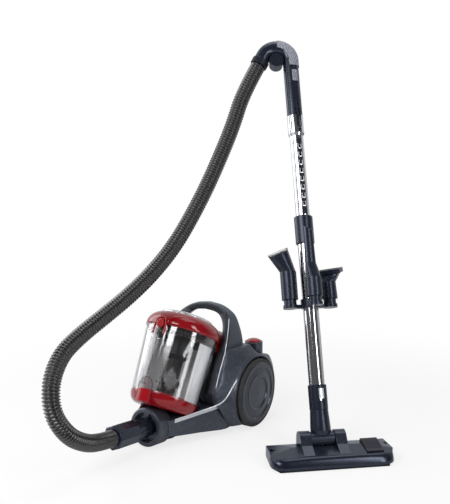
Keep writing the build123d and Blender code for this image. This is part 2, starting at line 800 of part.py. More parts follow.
with BuildPart() as cord_reel:
    for start in (reel_start_x, reel_end_x - 2.5):
        with BuildSketch(machine_axis.offset(start)):
            Circle(reel_radius)
            with PolarLocations(40, 5):
                Circle(9, mode=Mode.SUBTRACT)
        extrude(amount=2.5)
    with BuildSketch(machine_axis.offset(reel_start_x)):
        Circle(reel_hub_radius)
    extrude(amount=reel_end_x - reel_start_x)
    with BuildSketch(machine_axis.offset(reel_start_x)):
        Circle(reel_pin_radius + running_gap)
    extrude(amount=reel_end_x - reel_start_x, mode=Mode.SUBTRACT)

with BuildPart() as rear_grille:
    with BuildSketch(Plane.XZ.offset(-(casing_rear_y - 4))):
        with Locations((0, grille_z)):
            Rectangle(grille_width, grille_height)
            with GridLocations(0, 6, 1, 6):
                Rectangle(grille_width - 10, 3, mode=Mode.SUBTRACT)
    extrude(amount=4)
    with BuildSketch(Plane.XZ.offset(-(casing_rear_y - 4))):
        with Locations((0, grille_z)):
            Rectangle(3, grille_height - 4)
    extrude(amount=4)
with BuildPart() as exhaust_filter:
    with BuildSketch(Plane.XZ.offset(-(casing_rear_y - 8.2))):
        with Locations((0, grille_z)):
            Rectangle(grille_width - 0.4, grille_height - 0.4)
    extrude(amount=9)
with BuildPart() as cord_outlet:
    with BuildSketch(Plane.XZ.offset(-(casing_rear_y - 3))):
        with Locations((-outlet_x, grille_z)):
            Circle(outlet_radius + 3)
            Circle(outlet_radius - 3, mode=Mode.SUBTRACT)
    extrude(amount=-3)
    with BuildSketch(Plane.XZ.offset(-(casing_rear_y - 3))):
        with Locations((-outlet_x, grille_z)):
            Circle(outlet_radius - 0.05)
            Circle(outlet_radius - 3, mode=Mode.SUBTRACT)
    extrude(amount=10)
with BuildPart() as casing_screws:
    with BuildSketch(Plane.XY.offset(screw_seat_z - 3)):
        with Locations((screw_x, screw_y), (-screw_x, screw_y)):
            Circle(screw_head_radius)
    extrude(amount=3)
    with BuildSketch(Plane.XY.offset(screw_seat_z)):
        with Locations((screw_x, screw_y), (-screw_x, screw_y)):
            Circle(screw_radius)
    extrude(amount=screw_length)

sleeve_floor_z = 150.0
with BuildPart() as button_sleeves:
    with BuildSketch(Plane.XY.offset(sleeve_floor_z)):
        with Locations((boss_x, boss_y), (-boss_x, boss_y)):
            Circle(boss_radius - 0.05)
    extrude(amount=boss_top_z - sleeve_floor_z)
    fillet(button_sleeves.edges().group_by(Axis.Z)[-1], radius=2)
    with BuildSketch(Plane.XY.offset(sleeve_floor_z + 3)):
        with Locations((boss_x, boss_y), (-boss_x, boss_y)):
            Circle(button_radius + slide_gap)
    extrude(amount=60, mode=Mode.SUBTRACT)

button_cap_z = boss_top_z - 26
with BuildPart() as foot_button:
    with BuildSketch(Plane.XZ):
        with BuildLine():
            Polyline(
                (0, button_cap_z), (button_radius, button_cap_z), (button_radius, boss_top_z + 2),
                (button_radius - 2, boss_top_z + 4),
            )
            dome_arc(button_radius - 2, 3, boss_top_z + 4)
            Line((0, boss_top_z + 7), (0, button_cap_z))
        make_face()
    revolve(axis=Axis.Z)

for piece, name in (
    (inner_bracket, "inner_bracket"), (motor_can, "motor_can"), (motor_rotor, "motor_rotor"),
    (cord_reel, "cord_reel"), (rear_grille, "rear_grille"),
    (exhaust_filter, "exhaust_filter"), (cord_outlet, "cord_outlet"), (casing_screws, "casing_screws"),
    (button_sleeves, "button_sleeves"),
):
    save(piece, name, canister)
save(foot_button, "power_button", on_canister(Plane(origin=(boss_x, boss_y, 0))))
save(foot_button, "rewind_button", on_canister(Plane(origin=(-boss_x, boss_y, 0))))

# ================================================================ hose cuff, in the drum's socket
plug_radius = socket_radius - slide_gap
cuff_flat = 25.0
with BuildPart() as hose_cuff:
    with BuildSketch(Plane.XY.offset(8)):
        Circle(plug_radius)
    extrude(amount=drum_length - 8)
    with BuildSketch(Plane.XY.offset(drum_length)):
        Circle(plug_radius + 2)
    extrude(amount=48)
    with BuildSketch(Plane.XY.offset(drum_length + 8)):
        with PolarLocations(plug_radius + 2, 8):
            Rectangle(3, 5)
    extrude(amount=26)
    with BuildSketch(Plane.XY.offset(drum_length + 44)):
        RegularPolygon(cuff_flat, 8, major_radius=False)
    extrude(amount=cuff_end - drum_length - 44)
    chamfer(hose_cuff.faces().sort_by(Axis.Z)[-1].edges(), length=2)
    with BuildSketch(Plane.XY.offset(8)):
        Circle(hose_radius - 3.5)
    extrude(amount=cuff_end, mode=Mode.SUBTRACT)
save(hose_cuff, "hose_cuff", inlet)


def sector(inner, outer, middle, half):
    """A sector of a ring, with its middle and half width in degrees."""
    reach = 3 * outer
    turns = [radians(middle + half * step / 4) for step in range(-4, 5)]
    with BuildSketch() as ring:
        Circle(outer)
        Circle(inner, mode=Mode.SUBTRACT)
        with BuildLine():
            Polyline((0, 0), *[(reach * cos(turn), reach * sin(turn)) for turn in turns], (0, 0))
        make_face(mode=Mode.INTERSECT)
    return ring.sketch


def facing(azimuth):
    """An upright plane through the axis that looks outwards at an azimuth, in degrees."""
    turn = radians(azimuth)
    return Plane(origin=(0, 0, 0), x_dir=(-sin(turn), cos(turn), 0), z_dir=(cos(turn), sin(turn), 0))


# ================================================================ handle, about its own bend
bend_turn = radians(bend_angle)
bore_radius = handle_radius - handle_wall
handle_low = upper_tube_top + seat_gap - bend_start
plug_low = handle_plug_bottom - bend_start
handle_plug_radius = 15.6
spigot_radius = 17.5
slider_z, slider_turn, slider_length, slider_travel = -45.0, 109.0, 28.0, 6.0
catch_z, catch_turn, catch_length, catch_travel = -135.0, 114.0, 15.0, 1.5
panel_start, panel_end_angle = -18.0, 85.0


def on_bend(angle):
    """A point of the bend's centre line, in the bend's plane."""
    turn = radians(angle)
    return (bend_radius * (1 - cos(turn)), bend_radius * sin(turn))


leg_way = Vector(sin(bend_turn), 0, cos(bend_turn))
leg_start = Vector(on_bend(bend_angle)[0], 0, on_bend(bend_angle)[1])
leg_plane = Plane(origin=leg_start + leg_way * hose_leg, x_dir=(0, 1, 0), z_dir=leg_way)
with BuildLine(Plane.XZ) as handle_line:
    Line((0, handle_low), (0, 0))
    ThreePointArc((0, 0), on_bend(bend_angle / 2), on_bend(bend_angle))
    Line(on_bend(bend_angle), (leg_plane.origin.X, leg_plane.origin.Z))
with BuildLine(Plane.XZ) as panel_line:
    Line((0, panel_start), (0, 0))
    ThreePointArc((0, 0), on_bend(panel_end_angle / 2), on_bend(panel_end_angle))

with BuildPart() as handle_shell:
    with BuildSketch(Plane.XY.offset(handle_low)):
        Circle(handle_radius)
    sweep(path=handle_line.wires()[0])
    # The bulge under the bend.
    with BuildSketch(Plane.XZ.offset(-15)):
        with Locations((34.5, -1.5)):
            Circle(17)
    extrude(amount=30)
    with BuildSketch(leg_plane):
        Circle(spigot_radius)
    extrude(amount=swivel_ring_length)
    with BuildSketch(Plane.XY.offset(handle_low)):
        Circle(bore_radius)
    sweep(path=handle_line.wires()[0], mode=Mode.SUBTRACT)
    with BuildSketch(leg_plane):
        Circle(bore_radius)
    extrude(amount=swivel_ring_length, mode=Mode.SUBTRACT)
    # The plug that goes into the wand's sleeve, with a thick root.
    with BuildSketch(Plane.XY.offset(handle_low)):
        Circle(handle_radius)
    extrude(amount=4)
    with BuildSketch(Plane.XY.offset(plug_low)):
        Circle(handle_plug_radius)
    extrude(amount=handle_low - plug_low)
    with BuildSketch(Plane.XY.offset(plug_low)):
        Circle(handle_plug_radius - 2.5)
    extrude(amount=handle_low + 4 - plug_low, mode=Mode.SUBTRACT)
    # Pockets of the suction slider and of the catch button.
    with BuildSketch(Plane.XY.offset(slider_z - slider_length / 2 - slider_travel - slide_gap)):
        add(sector(17, 30, slider_turn, 22))
    extrude(amount=slider_length + 2 * slider_travel + 2 * slide_gap, mode=Mode.SUBTRACT)
    with BuildSketch(Plane.XY.offset(catch_z - catch_length / 2 - slide_gap)):
        add(sector(16.3, 30, catch_turn, 19))
    extrude(amount=catch_length + 2 * slide_gap, mode=Mode.SUBTRACT)

with BuildPart() as grip_panel:
    with BuildSketch(Plane.XY.offset(panel_start)):
        add(sector(handle_radius + 0.05, handle_radius + 1.6, 180, 105))
    sweep(path=panel_line.wires()[0])
with BuildPart() as suction_slider:
    with BuildSketch(Plane.XY.offset(slider_z - slider_length / 2)):
        add(sector(17 + slide_gap, 20.6, slider_turn, 20))
    extrude(amount=slider_length)
    for step in (-5, 0, 5):
        with BuildSketch(Plane.XY.offset(slider_z + step - 0.8)):
            add(sector(20, 21.4, slider_turn, 14))
        extrude(amount=1.6)
with BuildPart() as handle_button:
    with BuildSketch(Plane.XY.offset(catch_z - catch_length / 2)):
        add(sector(18.1, 20.8, catch_turn, 17))
    extrude(amount=catch_length)
with BuildPart() as swivel_ring:
    with BuildSketch(leg_plane.offset(slide_gap)):
        Circle(21)
        Circle(spigot_radius + running_gap, mode=Mode.SUBTRACT)
    extrude(amount=swivel_ring_length - 2 * slide_gap)
    fillet(swivel_ring.edges().filter_by(GeomType.CIRCLE).group_by(SortBy.RADIUS)[-1], radius=1.5)

save(handle_shell, "handle_shell", handle)
save(grip_panel, "grip_panel", handle)
save(suction_slider, "suction_slider", handle)
save(handle_button, "handle_button", handle)
save(swivel_ring, "hose_swivel_ring", handle)

# ================================================================ hose, from the handle to the cuff
hose_start = handle.from_local_coords(leg_plane.origin + leg_way * (swivel_ring_length + seat_gap))
hose_end = inlet.from_local_coords(Vector(0, 0, cuff_end + seat_gap))
hose_route = (
    (51, 19, 722), (43, -23, 649), (36, -69, 579), (28, -119, 513), (21, -174, 452),
    (9, -235, 399), (-5, -301, 355), (-20, -367, 319), (-31, -428, 289), (-33, -483, 260),
    (-20, -526, 214), (-4, -538, 158), (8, -512, 110), (5, -468, 80), (0, -420, 61.2),
)
hose_lead = 80.0        # the hose leaves the handle straight for this far
hose_points = [hose_start, hose_start + direction(handle, *leg_way) * hose_lead]
hose_points += [canister.from_local_coords(Vector(*point)) for point in hose_route]
hose_points += [hose_end]
hose_bends = []
for before, corner, after in zip(hose_points, hose_points[1:], hose_points[2:]):
    way_in, way_out = corner - before, after - corner
    half_turn = radians(way_in.get_angle(way_out)) / 2
    hose_bends.append(0.45 * min(way_in.length, way_out.length) / tan(half_turn))
print("hose bend radii", [round(bend) for bend in hose_bends])
with BuildPart() as hose:
    with BuildLine() as hose_line:
        FilletPolyline(*hose_points, radius=hose_bends)
    with BuildSketch(Plane(origin=hose_points[0], z_dir=hose_points[1] - hose_points[0])):
        Circle(hose_radius)
    sweep(path=hose_line.line)
print("hose length", round(sum(edge.length for edge in hose_line.edges())))
hose.part.label = "hose"
export_step(hose.part, "parts/hose.step")

# ================================================================ telescopic wand
lower_bore = lower_tube_radius - lower_tube_wall
upper_bore = upper_tube_radius - upper_tube_wall
sleeve_bottom = upper_tube_top - sleeve_length
rack_turn = -85.0
rack_half = 17.0
sleeve_slot_turn = -75.0
latch_travel = 3.0


def ring_solid(outer, inner, bottom, top):
    """A plain ring or tube about the axis."""
    with BuildPart() as ring:
        with BuildSketch(Plane.XY.offset(bottom)):
            Circle(outer)
            Circle(inner, mode=Mode.SUBTRACT)
        extrude(amount=top - bottom)
    return ring.part


def rod_solid(radius, bottom, top):
    """A plain rod about the axis."""
    with BuildPart() as rod:
        with BuildSketch(Plane.XY.offset(bottom)):
            Circle(radius)
        extrude(amount=top - bottom)
    return rod.part


with BuildPart() as upper_tube:
    with BuildSketch(Plane.XZ):
        with BuildLine():
            Polyline(
                (upper_bore, upper_tube_bottom), (upper_tube_radius, upper_tube_bottom),
                (upper_tube_radius, sleeve_bottom), (sleeve_radius, sleeve_bottom + 6),
                (sleeve_radius, upper_tube_top), (handle_plug_radius + slide_gap, upper_tube_top),
                (handle_plug_radius + slide_gap, handle_plug_bottom - seat_gap),
                (upper_bore, handle_plug_bottom - seat_gap), (upper_bore, upper_tube_bottom),
            )
        make_face()
    revolve(axis=Axis.Z)
    # The catch's slot in the sleeve, its square hole, and the groove of the notched strip.
    with BuildSketch(facing(sleeve_slot_turn)):
        with Locations((0, upper_tube_top - 12)):
            Rectangle(13, 26)
        with Locations((0, upper_tube_top - 25)):
            Circle(6.5)
        with Locations((0, upper_tube_top - 38)):
            Rectangle(8, 8)
    extrude(amount=40, mode=Mode.SUBTRACT)
    with BuildSketch(Plane.XY.offset(rack_bottom)):
        add(sector(upper_bore - 2, 30, rack_turn, rack_half))
    extrude(amount=rack_top - rack_bottom, mode=Mode.SUBTRACT)
with BuildPart() as rack_strip:
    with BuildSketch(Plane.XY.offset(rack_bottom + 0.05)):
        add(sector(upper_bore - 0.8, upper_tube_radius + 0.15, rack_turn, rack_half - 0.3))
    extrude(amount=rack_top - rack_bottom - 0.1)
    with BuildSketch(facing(rack_turn)):
        with Locations((0, (rack_bottom + rack_top) / 2)):
            with GridLocations(0, notch_pitch, 1, notch_count):
                Rectangle(5.5, 8)
    extrude(amount=30, mode=Mode.SUBTRACT)
lower_tube = ring_solid(lower_tube_radius, lower_bore, lower_tube_bottom, lower_tube_top)

with BuildPart() as latch_collar:
    with BuildSketch(Plane.XY.offset(latch_bottom)):
        Circle(latch_radius)
    extrude(amount=latch_top - latch_bottom)
    chamfer(latch_collar.edges().filter_by(GeomType.CIRCLE), length=2)
    add(rod_solid(lower_tube_radius + running_gap, latch_bottom, lower_tube_top + seat_gap), mode=Mode.SUBTRACT)
    add(rod_solid(lower_bore, latch_bottom, latch_top), mode=Mode.SUBTRACT)
    with BuildSketch(Plane.XY.offset(latch_bottom + 5)):
        add(sector(18.9, 30, rack_turn, 24))
    extrude(amount=30, mode=Mode.SUBTRACT)
with BuildPart() as latch_slider:
    with BuildSketch(Plane.XY.offset(latch_bottom + 5 + slide_gap + latch_travel)):
        add(sector(19.2, 22.8, rack_turn, 22))
    extrude(amount=30 - 2 * slide_gap - 2 * latch_travel)

save(upper_tube, "upper_tube", wand)
save(rack_strip, "rack_strip", wand)
with BuildPart() as lower_tube_part:
    add(lower_tube)
save(lower_tube_part, "lower_tube", wand)
save(latch_collar, "latch_collar", wand)
save(latch_slider, "latch_slider", wand)

# ================================================================ accessory holder and its three tools
stub_radius = 14.2
stub_top = holder_bottom + 8 + stub_height
tool_bottom = holder_bottom + holder_height
tool_places = {"brush": (-tool_spacing, 0), "nozzle": (tool_spacing, 0), "crevice": (0, -tool_front)}


def on_wand(x, y):
    """The wand's plane moved sideways."""
    return Plane(origin=wand.from_local_coords((x, y, 0)), x_dir=wand.x_dir, z_dir=wand.z_dir)


with BuildPart() as accessory_holder:
    with BuildSketch(Plane.XY.offset(holder_bottom)):
        Circle(latch_radius)
        for place in tool_places.values():
            with Locations(place):
                Circle(16.5)
        Rectangle(2 * tool_spacing, 15)
        with Locations((0, -tool_front / 2)):
            Rectangle(15, tool_front)
    extrude(amount=8)
    with BuildSketch(Plane.XY.offset(holder_bottom)):
        Circle(latch_radius)
    extrude(amount=holder_height)
    with BuildSketch(Plane.XY.offset(holder_bottom + 8)):
        with Locations(*tool_places.values()):
            Circle(stub_radius)
            Circle(stub_radius - 2.5, mode=Mode.SUBTRACT)
    extrude(amount=stub_height)
    add(rod_solid(lower_tube_radius + running_gap, holder_bottom, stub_top), mode=Mode.SUBTRACT)
save(accessory_holder, "accessory_holder", wand)


def tool_socket(top, outer_top):
    """A tool's round socket, solid: its bore is cut once the head is on."""
    with BuildPart() as socket:
        with BuildSketch(Plane.XY.offset(tool_bottom)):
            Circle(tool_radius)
        with BuildSketch(Plane.XY.offset(top)):
            Circle(outer_top)
        loft()
    return socket.part


def tool_bore(top):
    """The hollow of a tool: wide over the stub, narrower above the seat."""
    with BuildPart() as bore:
        add(rod_solid(stub_radius + slide_gap, tool_bottom, stub_top + slide_gap))
        add(rod_solid(11, tool_bottom, top))
    return bore.part


brush_neck = 372.0
brush_face = Plane(
    origin=(-18, 0, 413), x_dir=(cos(radians(20)), 0, sin(radians(20))),
    z_dir=(-sin(radians(20)), 0, cos(radians(20))),
)
with BuildPart() as dusting_brush:
    add(tool_socket(brush_neck, tool_radius))
    with BuildSketch(Plane.XY.offset(brush_neck)):
        Circle(tool_radius - 0.6)
    with BuildSketch(brush_face):
        Ellipse(23.5, 17.5)
    loft()
    add(tool_bore(brush_neck), mode=Mode.SUBTRACT)
    with BuildSketch(Plane.XY.offset(brush_neck - 2)):
        Circle(11)
    with BuildSketch(brush_face.offset(1)):
        Ellipse(20.5, 14.5)
    loft(mode=Mode.SUBTRACT)
with BuildPart() as brush_bristles:
    with BuildSketch(brush_face.offset(-8)):
        Ellipse(17.5, 11.5)
        Ellipse(14, 8, mode=Mode.SUBTRACT)
    extrude(amount=12)
save(dusting_brush, "dusting_brush", on_wand(*tool_places["brush"]))
save(brush_bristles, "brush_bristles", on_wand(*tool_places["brush"]))

blade_shift = -4.0
blade_root, blade_tip = 384.0, 471.0
with BuildPart() as crevice_tool:
    add(tool_socket(350, tool_radius - 0.5))
    with BuildSketch(Plane.XY.offset(350)):
        Circle(tool_radius - 0.7)
    with BuildSketch(Plane.XY.offset(blade_root)):
        with Locations((blade_shift, 0)):
            Ellipse(12.5, 7.5)
    with BuildSketch(Plane.XY.offset(blade_tip)):
        with Locations((blade_shift, 0)):
            Ellipse(10.5, 5.5)
    loft(ruled=True)
    add(tool_bore(350), mode=Mode.SUBTRACT)
    with BuildSketch(Plane.XY.offset(348)):
        Circle(11)
    with BuildSketch(Plane.XY.offset(blade_root)):
        with Locations((blade_shift, 0)):
            Ellipse(10, 5.2)
    with BuildSketch(Plane.XY.offset(blade_tip + 1)):
        with Locations((blade_shift, 0)):
            Ellipse(8.5, 3.5)
    loft(ruled=True, mode=Mode.SUBTRACT)
    with BuildSketch(Plane.XZ.offset(-20)):
        Polygon((-20, 472), (20, 449), (20, 480), (-20, 480), align=None)
    extrude(amount=40, mode=Mode.SUBTRACT)
save(crevice_tool, "crevice_tool", on_wand(*tool_places["crevice"]))

nozzle_yaw, nozzle_tip = radians(-35), radians(18)
nozzle_along = Vector(cos(nozzle_yaw), sin(nozzle_yaw), 0)
nozzle_up = Vector(-sin(nozzle_yaw) * -sin(nozzle_tip), cos(nozzle_yaw) * -sin(nozzle_tip), cos(nozzle_tip))
nozzle_plane = Plane(origin=(6, -3, 366), x_dir=nozzle_along, z_dir=nozzle_up)
with BuildPart() as upholstery_nozzle:
    add(tool_socket(346, tool_radius - 1.5))
    with BuildSketch(Plane.XY.offset(346)):
        Circle(tool_radius - 2)
    with BuildSketch(nozzle_plane):
        Rectangle(44, 20)
    loft()
    with BuildSketch(nozzle_plane):
        Rectangle(54, 26)
    extrude(amount=10)
    add(tool_bore(346), mode=Mode.SUBTRACT)
    with BuildSketch(Plane.XY.offset(345.9)):
        Circle(11)
    with BuildSketch(nozzle_plane.offset(0.1)):
        Rectangle(36, 13)
    loft(mode=Mode.SUBTRACT)
    with BuildSketch(nozzle_plane):
        Rectangle(48, 13)
    extrude(amount=11, mode=Mode.SUBTRACT)
save(upholstery_nozzle, "upholstery_nozzle", on_wand(*tool_places["nozzle"]))

# ================================================================ neck and elbow, about the tilt axis
neck_radius = 20.5
swivel_plug_radius = 16.5
swivel_plug_top = 78.0
elbow_top = neck_bottom - slide_gap
elbow_bore = 13.0
barrel_pin_radius, barrel_pin_depth = 6.0, 8.0
neck_button_turn = -82.0
neck_button_travel = 4.0

with BuildPart() as neck_socket:
    with BuildSketch(Plane.XY.offset(neck_bottom)):
        Circle(neck_radius)
    extrude(amount=neck_top - neck_bottom)
    chamfer(neck_socket.edges().filter_by(GeomType.CIRCLE), length=1)
    add(rod_solid(swivel_plug_radius + running_gap, neck_bottom, neck_top), mode=Mode.SUBTRACT)
    add(
        rod_solid(lower_tube_radius + slide_gap, lower_tube_bottom - seat_gap, neck_top),
        mode=Mode.SUBTRACT,
    )
    with BuildSketch(Plane.XY.offset(neck_bottom + 20)):
        add(sector(12, 30, neck_button_turn, 17))
    extrude(amount=27, mode=Mode.SUBTRACT)
with BuildPart() as neck_button:
    with BuildSketch(Plane.XY.offset(neck_bottom + 20 + neck_button_travel + slide_gap)):
        add(sector(lower_tube_radius + 2 * slide_gap, 21.8, neck_button_turn, 15))
    extrude(amount=27 - neck_button_travel - 2 * slide_gap)
with BuildPart() as elbow:
    with BuildSketch(Plane.XZ):
        with BuildLine():
            Polyline(
                (0, 8), (20, 8), (22.5, 18), (22.3, 26), (20, elbow_top), (swivel_plug_radius, elbow_top),
                (swivel_plug_radius, swivel_plug_top), (0, swivel_plug_top), (0, 8),
            )
        make_face()
    revolve(axis=Axis.Z)
    with BuildSketch(Plane.YZ.offset(-barrel_length / 2)):
        Circle(barrel_radius)
    extrude(amount=barrel_length)
    with BuildSketch(Plane.YZ.offset(-barrel_length / 2)):
        Circle(barrel_pin_radius + running_gap)
    extrude(amount=barrel_pin_depth, mode=Mode.SUBTRACT)
    with BuildSketch(Plane.YZ.offset(barrel_length / 2 - barrel_pin_depth)):
        Circle(barrel_pin_radius + running_gap)
    extrude(amount=barrel_pin_depth, mode=Mode.SUBTRACT)
    add(rod_solid(elbow_bore, 0, swivel_plug_top), mode=Mode.SUBTRACT)
    # The barrel's mouth looks straight down into the floor head.
    with BuildSketch(Plane.XY):
        Circle(elbow_bore)
    extrude(amount=-barrel_radius - 1, mode=Mode.SUBTRACT)
save(neck_socket, "neck_socket", wand)
save(neck_button, "neck_button", wand)
save(elbow, "elbow", wand)

# ================================================================ floor head, about the middle of its sole
half_length = head_length / 2
front_y, bumper_back_y, back_y = -46.0, -34.0, 45.0
sole_thickness = 4.0
channel_half = barrel_length / 2 + slide_gap
channel_floor = pivot_z - barrel_radius - 0.5
channel_front = pivot_y - barrel_radius - 0.5
ear_radius = 20.0
pedal_y, pedal_z, pedal_pin = -2.0, 29.0, 2.5
pedal_floor = 22.0
roller_x, roller_y, roller_radius, roller_width = 80.0, 30.0, 8.0, 12.0
roller_z = roller_radius + 0.2
roller_pin = 2.0
strip_y, strip_width, strip_half_length = -4.0, 7.4, 108.0
suction_y, suction_width, suction_half_length = -22.0, 16.0, 113.0


def head_plan(inset, top, bottom=0.0):
    """The head's outline from above, drawn in by an inset and raised between two heights."""
    with BuildPart() as block:
        with BuildSketch(Plane.XY.offset(bottom)):
            with BuildLine():
                Polyline(
                    (-122 + inset, front_y + inset), (122 - inset, front_y + inset),
                    (half_length - inset, -16), (132 - inset, back_y - inset),
                    (-132 + inset, back_y - inset), (-half_length + inset, -16),
                    (-122 + inset, front_y + inset),
                )
            make_face()
        extrude(amount=top - bottom)
    return block.part


def head_profile(*points):
    """A profile across the head, run along its whole length."""
    with BuildPart() as run:
        with BuildSketch(Plane.YZ.offset(-half_length - 5)):
            with BuildLine():
                Polyline(*points, points[0])
            make_face()
        extrude(amount=head_length + 10)
    return run.part


def head_box(x, y, width, depth, bottom, top):
    """An upright block of the floor head, by its middle."""
    with BuildPart() as block:
        with BuildSketch(Plane.XY.offset(bottom)):
            with Locations((x, y)):
                Rectangle(width, depth)
        extrude(amount=top - bottom)
    return block.part


cavity = head_profile(
    (bumper_back_y + 3, sole_thickness), (bumper_back_y + 3, 23.3), (8, 30.5), (30, 28.5), (41, 24),
    (41, sole_thickness),
) & head_plan(3, 40)
cavity -= head_box(pivot_x, 25, 2 * channel_half + 2 * head_wall, 46, channel_floor - 3.5, 40)
cavity -= head_box(pedal_x, -2, pedal_width + 9.6, 66, pedal_floor - 3, 40)
for side in (-1, 1):
    for offset in (-roller_width / 2 - 2.1, roller_width / 2 + 2.1):
        cavity -= head_box(side * roller_x + offset, roller_y, 3.6, 12, sole_thickness, 40)

with BuildPart() as head_shell:
    add(
        head_profile(
            (bumper_back_y, sole_thickness), (bumper_back_y, 26.3), (8, 34), (30, 32), (back_y, 27),
            (back_y, sole_thickness),
        ) & head_plan(0, 40)
    )
    # The top falls a little towards both ends.
    for side in (-1, 1):
        with BuildSketch(Plane.XZ.offset(-60)):
            Polygon((side * 55, 36), (side * 140, 29), (side * 140, 45), (side * 55, 45), align=None)
        extrude(amount=120, mode=Mode.SUBTRACT)
    # Two ears hold the barrel, each with a ramp towards the front.
    for side in (-1, 1):
        inner_x = pivot_x + side * channel_half
        with BuildSketch(Plane.YZ.offset(inner_x)):
            with BuildLine():
                Polyline((pivot_y + ear_radius, pivot_z), (back_y - 1, 25), (-28, 25), (-28, 27.5), (-4, 40))
                Line((-4, 40), (pivot_y - 14.1, pivot_z + 14.1))
                ThreePointArc(
                    (pivot_y - 14.1, pivot_z + 14.1), (pivot_y, pivot_z + ear_radius),
                    (pivot_y + ear_radius, pivot_z),
                )
            make_face()
        extrude(amount=side * ear_width)
    add(head_box(pivot_x, 30 + channel_front, 2 * channel_half, 60, channel_floor, 80), mode=Mode.SUBTRACT)
    add(cavity, mode=Mode.SUBTRACT)
    # The pins of the tilt hinge, and the air way below the barrel.
    for side in (-1, 1):
        with BuildSketch(Plane.YZ.offset(pivot_x + side * channel_half)):
            with Locations((pivot_y, pivot_z)):
                Circle(barrel_pin_radius)
        extrude(amount=-side * (barrel_pin_depth - 1))
    with BuildSketch(Plane.XY.offset(sole_thickness)):
        with Locations((pivot_x, pivot_y)):
            Circle(12)
    extrude(amount=channel_floor, mode=Mode.SUBTRACT)
    # The pedal's pocket and bearings, and the bearings of the rollers.
    add(head_box(pedal_x, -1.75, pedal_width + 0.6, 58.5, pedal_floor, 60), mode=Mode.SUBTRACT)
    with BuildSketch(Plane.YZ.offset(pedal_x - pedal_width / 2 - 4.3)):
        with Locations((pedal_y, pedal_z)):
            Circle(pedal_pin + running_gap)
    extrude(amount=pedal_width + 8.6, mode=Mode.SUBTRACT)
    with BuildSketch(Plane.YZ.offset(-roller_x - 12)):
        with Locations((roller_y, roller_z)):
            Circle(roller_pin + running_gap)
    extrude(amount=2 * roller_x + 24, mode=Mode.SUBTRACT)

with BuildPart() as head_bumper:
    add(
        head_profile(
            (bumper_back_y - 0.02, sole_thickness), (bumper_back_y - 0.02, 26.3), (-40, 23), (-44, 18),
            (front_y, 12), (front_y, sole_thickness),
        ) & head_plan(0, 40)
    )
with BuildPart() as head_sole:
    add(head_plan(3, sole_thickness - 0.02))
    with BuildSketch(Plane.XY):
        with Locations((0, suction_y)):
            Rectangle(2 * suction_half_length, suction_width)
        with Locations((0, strip_y)):
            Rectangle(2 * strip_half_length + 2 * slide_gap, strip_width + 2 * slide_gap)
        with Locations((-roller_x, roller_y), (roller_x, roller_y)):
            Rectangle(roller_width + 2, 2 * roller_radius + 2)
    extrude(amount=sole_thickness, mode=Mode.SUBTRACT)
with BuildPart() as brush_strip:
    with BuildSketch(Plane.XY.offset(3)):
        with Locations((0, strip_y)):
            Rectangle(2 * strip_half_length, strip_width)
    extrude(amount=14)
with BuildPart() as head_rollers:
    with BuildSketch(Plane.YZ.offset(-roller_x - roller_width / 2)):
        with Locations((roller_y, roller_z)):
            Circle(roller_radius)
    extrude(amount=roller_width)
    with BuildSketch(Plane.YZ.offset(roller_x - roller_width / 2)):
        with Locations((roller_y, roller_z)):
            Circle(roller_radius)
    extrude(amount=roller_width)
    with BuildSketch(Plane.YZ.offset(-roller_x - 11)):
        with Locations((roller_y, roller_z)):
            Circle(roller_pin)
    extrude(amount=2 * roller_x + 22)
with BuildPart() as pedal:
    with BuildSketch(Plane.YZ.offset(pedal_x - pedal_width / 2)):
        with BuildLine():
            Polyline(
                (-28, 22.6), (24, 28.2), (24.5, 38), (20, 40.5), (8, 38.5), (-18, 31.5), (-28, 30.5),
                (-28, 22.6),
            )
        make_face()
    extrude(amount=pedal_width)
    with BuildSketch(Plane.YZ.offset(pedal_x - pedal_width / 2 - 4)):
        with Locations((pedal_y, pedal_z)):
            Circle(pedal_pin)
    extrude(amount=pedal_width + 8)

for piece, name in (
    (head_shell, "head_shell"), (head_bumper, "head_bumper"), (head_sole, "head_sole"),
    (brush_strip, "brush_strip"), (head_rollers, "head_rollers"), (pedal, "pedal"),
):
    save(piece, name, head)
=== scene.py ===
# %% [markdown]
# # A canister vacuum cleaner
# In the frame every rigid part stands in its place, in metres. This script gives each part
# its finish, replaces plain forms with fuller ones, such as the ribbed hose, the flared
# casing and the turned dust bin, and lights a small studio round it.

# %% Load the frame
from math import copysign, cos, hypot, pi, radians, sin, sqrt, tan

import bmesh
import bpy
from mathutils import Matrix, Vector


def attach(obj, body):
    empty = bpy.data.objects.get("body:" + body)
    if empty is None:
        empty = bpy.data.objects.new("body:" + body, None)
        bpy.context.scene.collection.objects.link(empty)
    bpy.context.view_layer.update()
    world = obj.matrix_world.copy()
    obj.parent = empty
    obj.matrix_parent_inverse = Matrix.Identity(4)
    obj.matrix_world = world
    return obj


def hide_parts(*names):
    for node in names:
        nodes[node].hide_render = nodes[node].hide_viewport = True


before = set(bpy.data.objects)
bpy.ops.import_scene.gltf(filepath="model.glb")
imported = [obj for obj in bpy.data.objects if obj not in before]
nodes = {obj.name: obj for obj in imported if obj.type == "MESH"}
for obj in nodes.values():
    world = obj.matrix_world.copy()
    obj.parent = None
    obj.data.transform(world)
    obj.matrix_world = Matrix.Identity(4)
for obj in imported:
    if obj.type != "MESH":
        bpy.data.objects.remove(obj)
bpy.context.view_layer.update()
MM = 0.001


def added(name, data):
    """A new object in the scene for a mesh, a lamp or a camera."""
    made = bpy.data.objects.new(name, data)
    bpy.context.collection.objects.link(made)
    return made


# %% [markdown]
# ## Planes of the object
# The canister, the wand and the floor head each lie at their own angle. World positions
# could be typed for every piece, but with a matrix for each part a piece is written in the
# axes that its maker would use, in millimetres.

# %% Planes of the main parts
def tilted(angle, about):
    """A turn by an angle in degrees about one axis."""
    return Matrix.Rotation(radians(angle), 4, about)


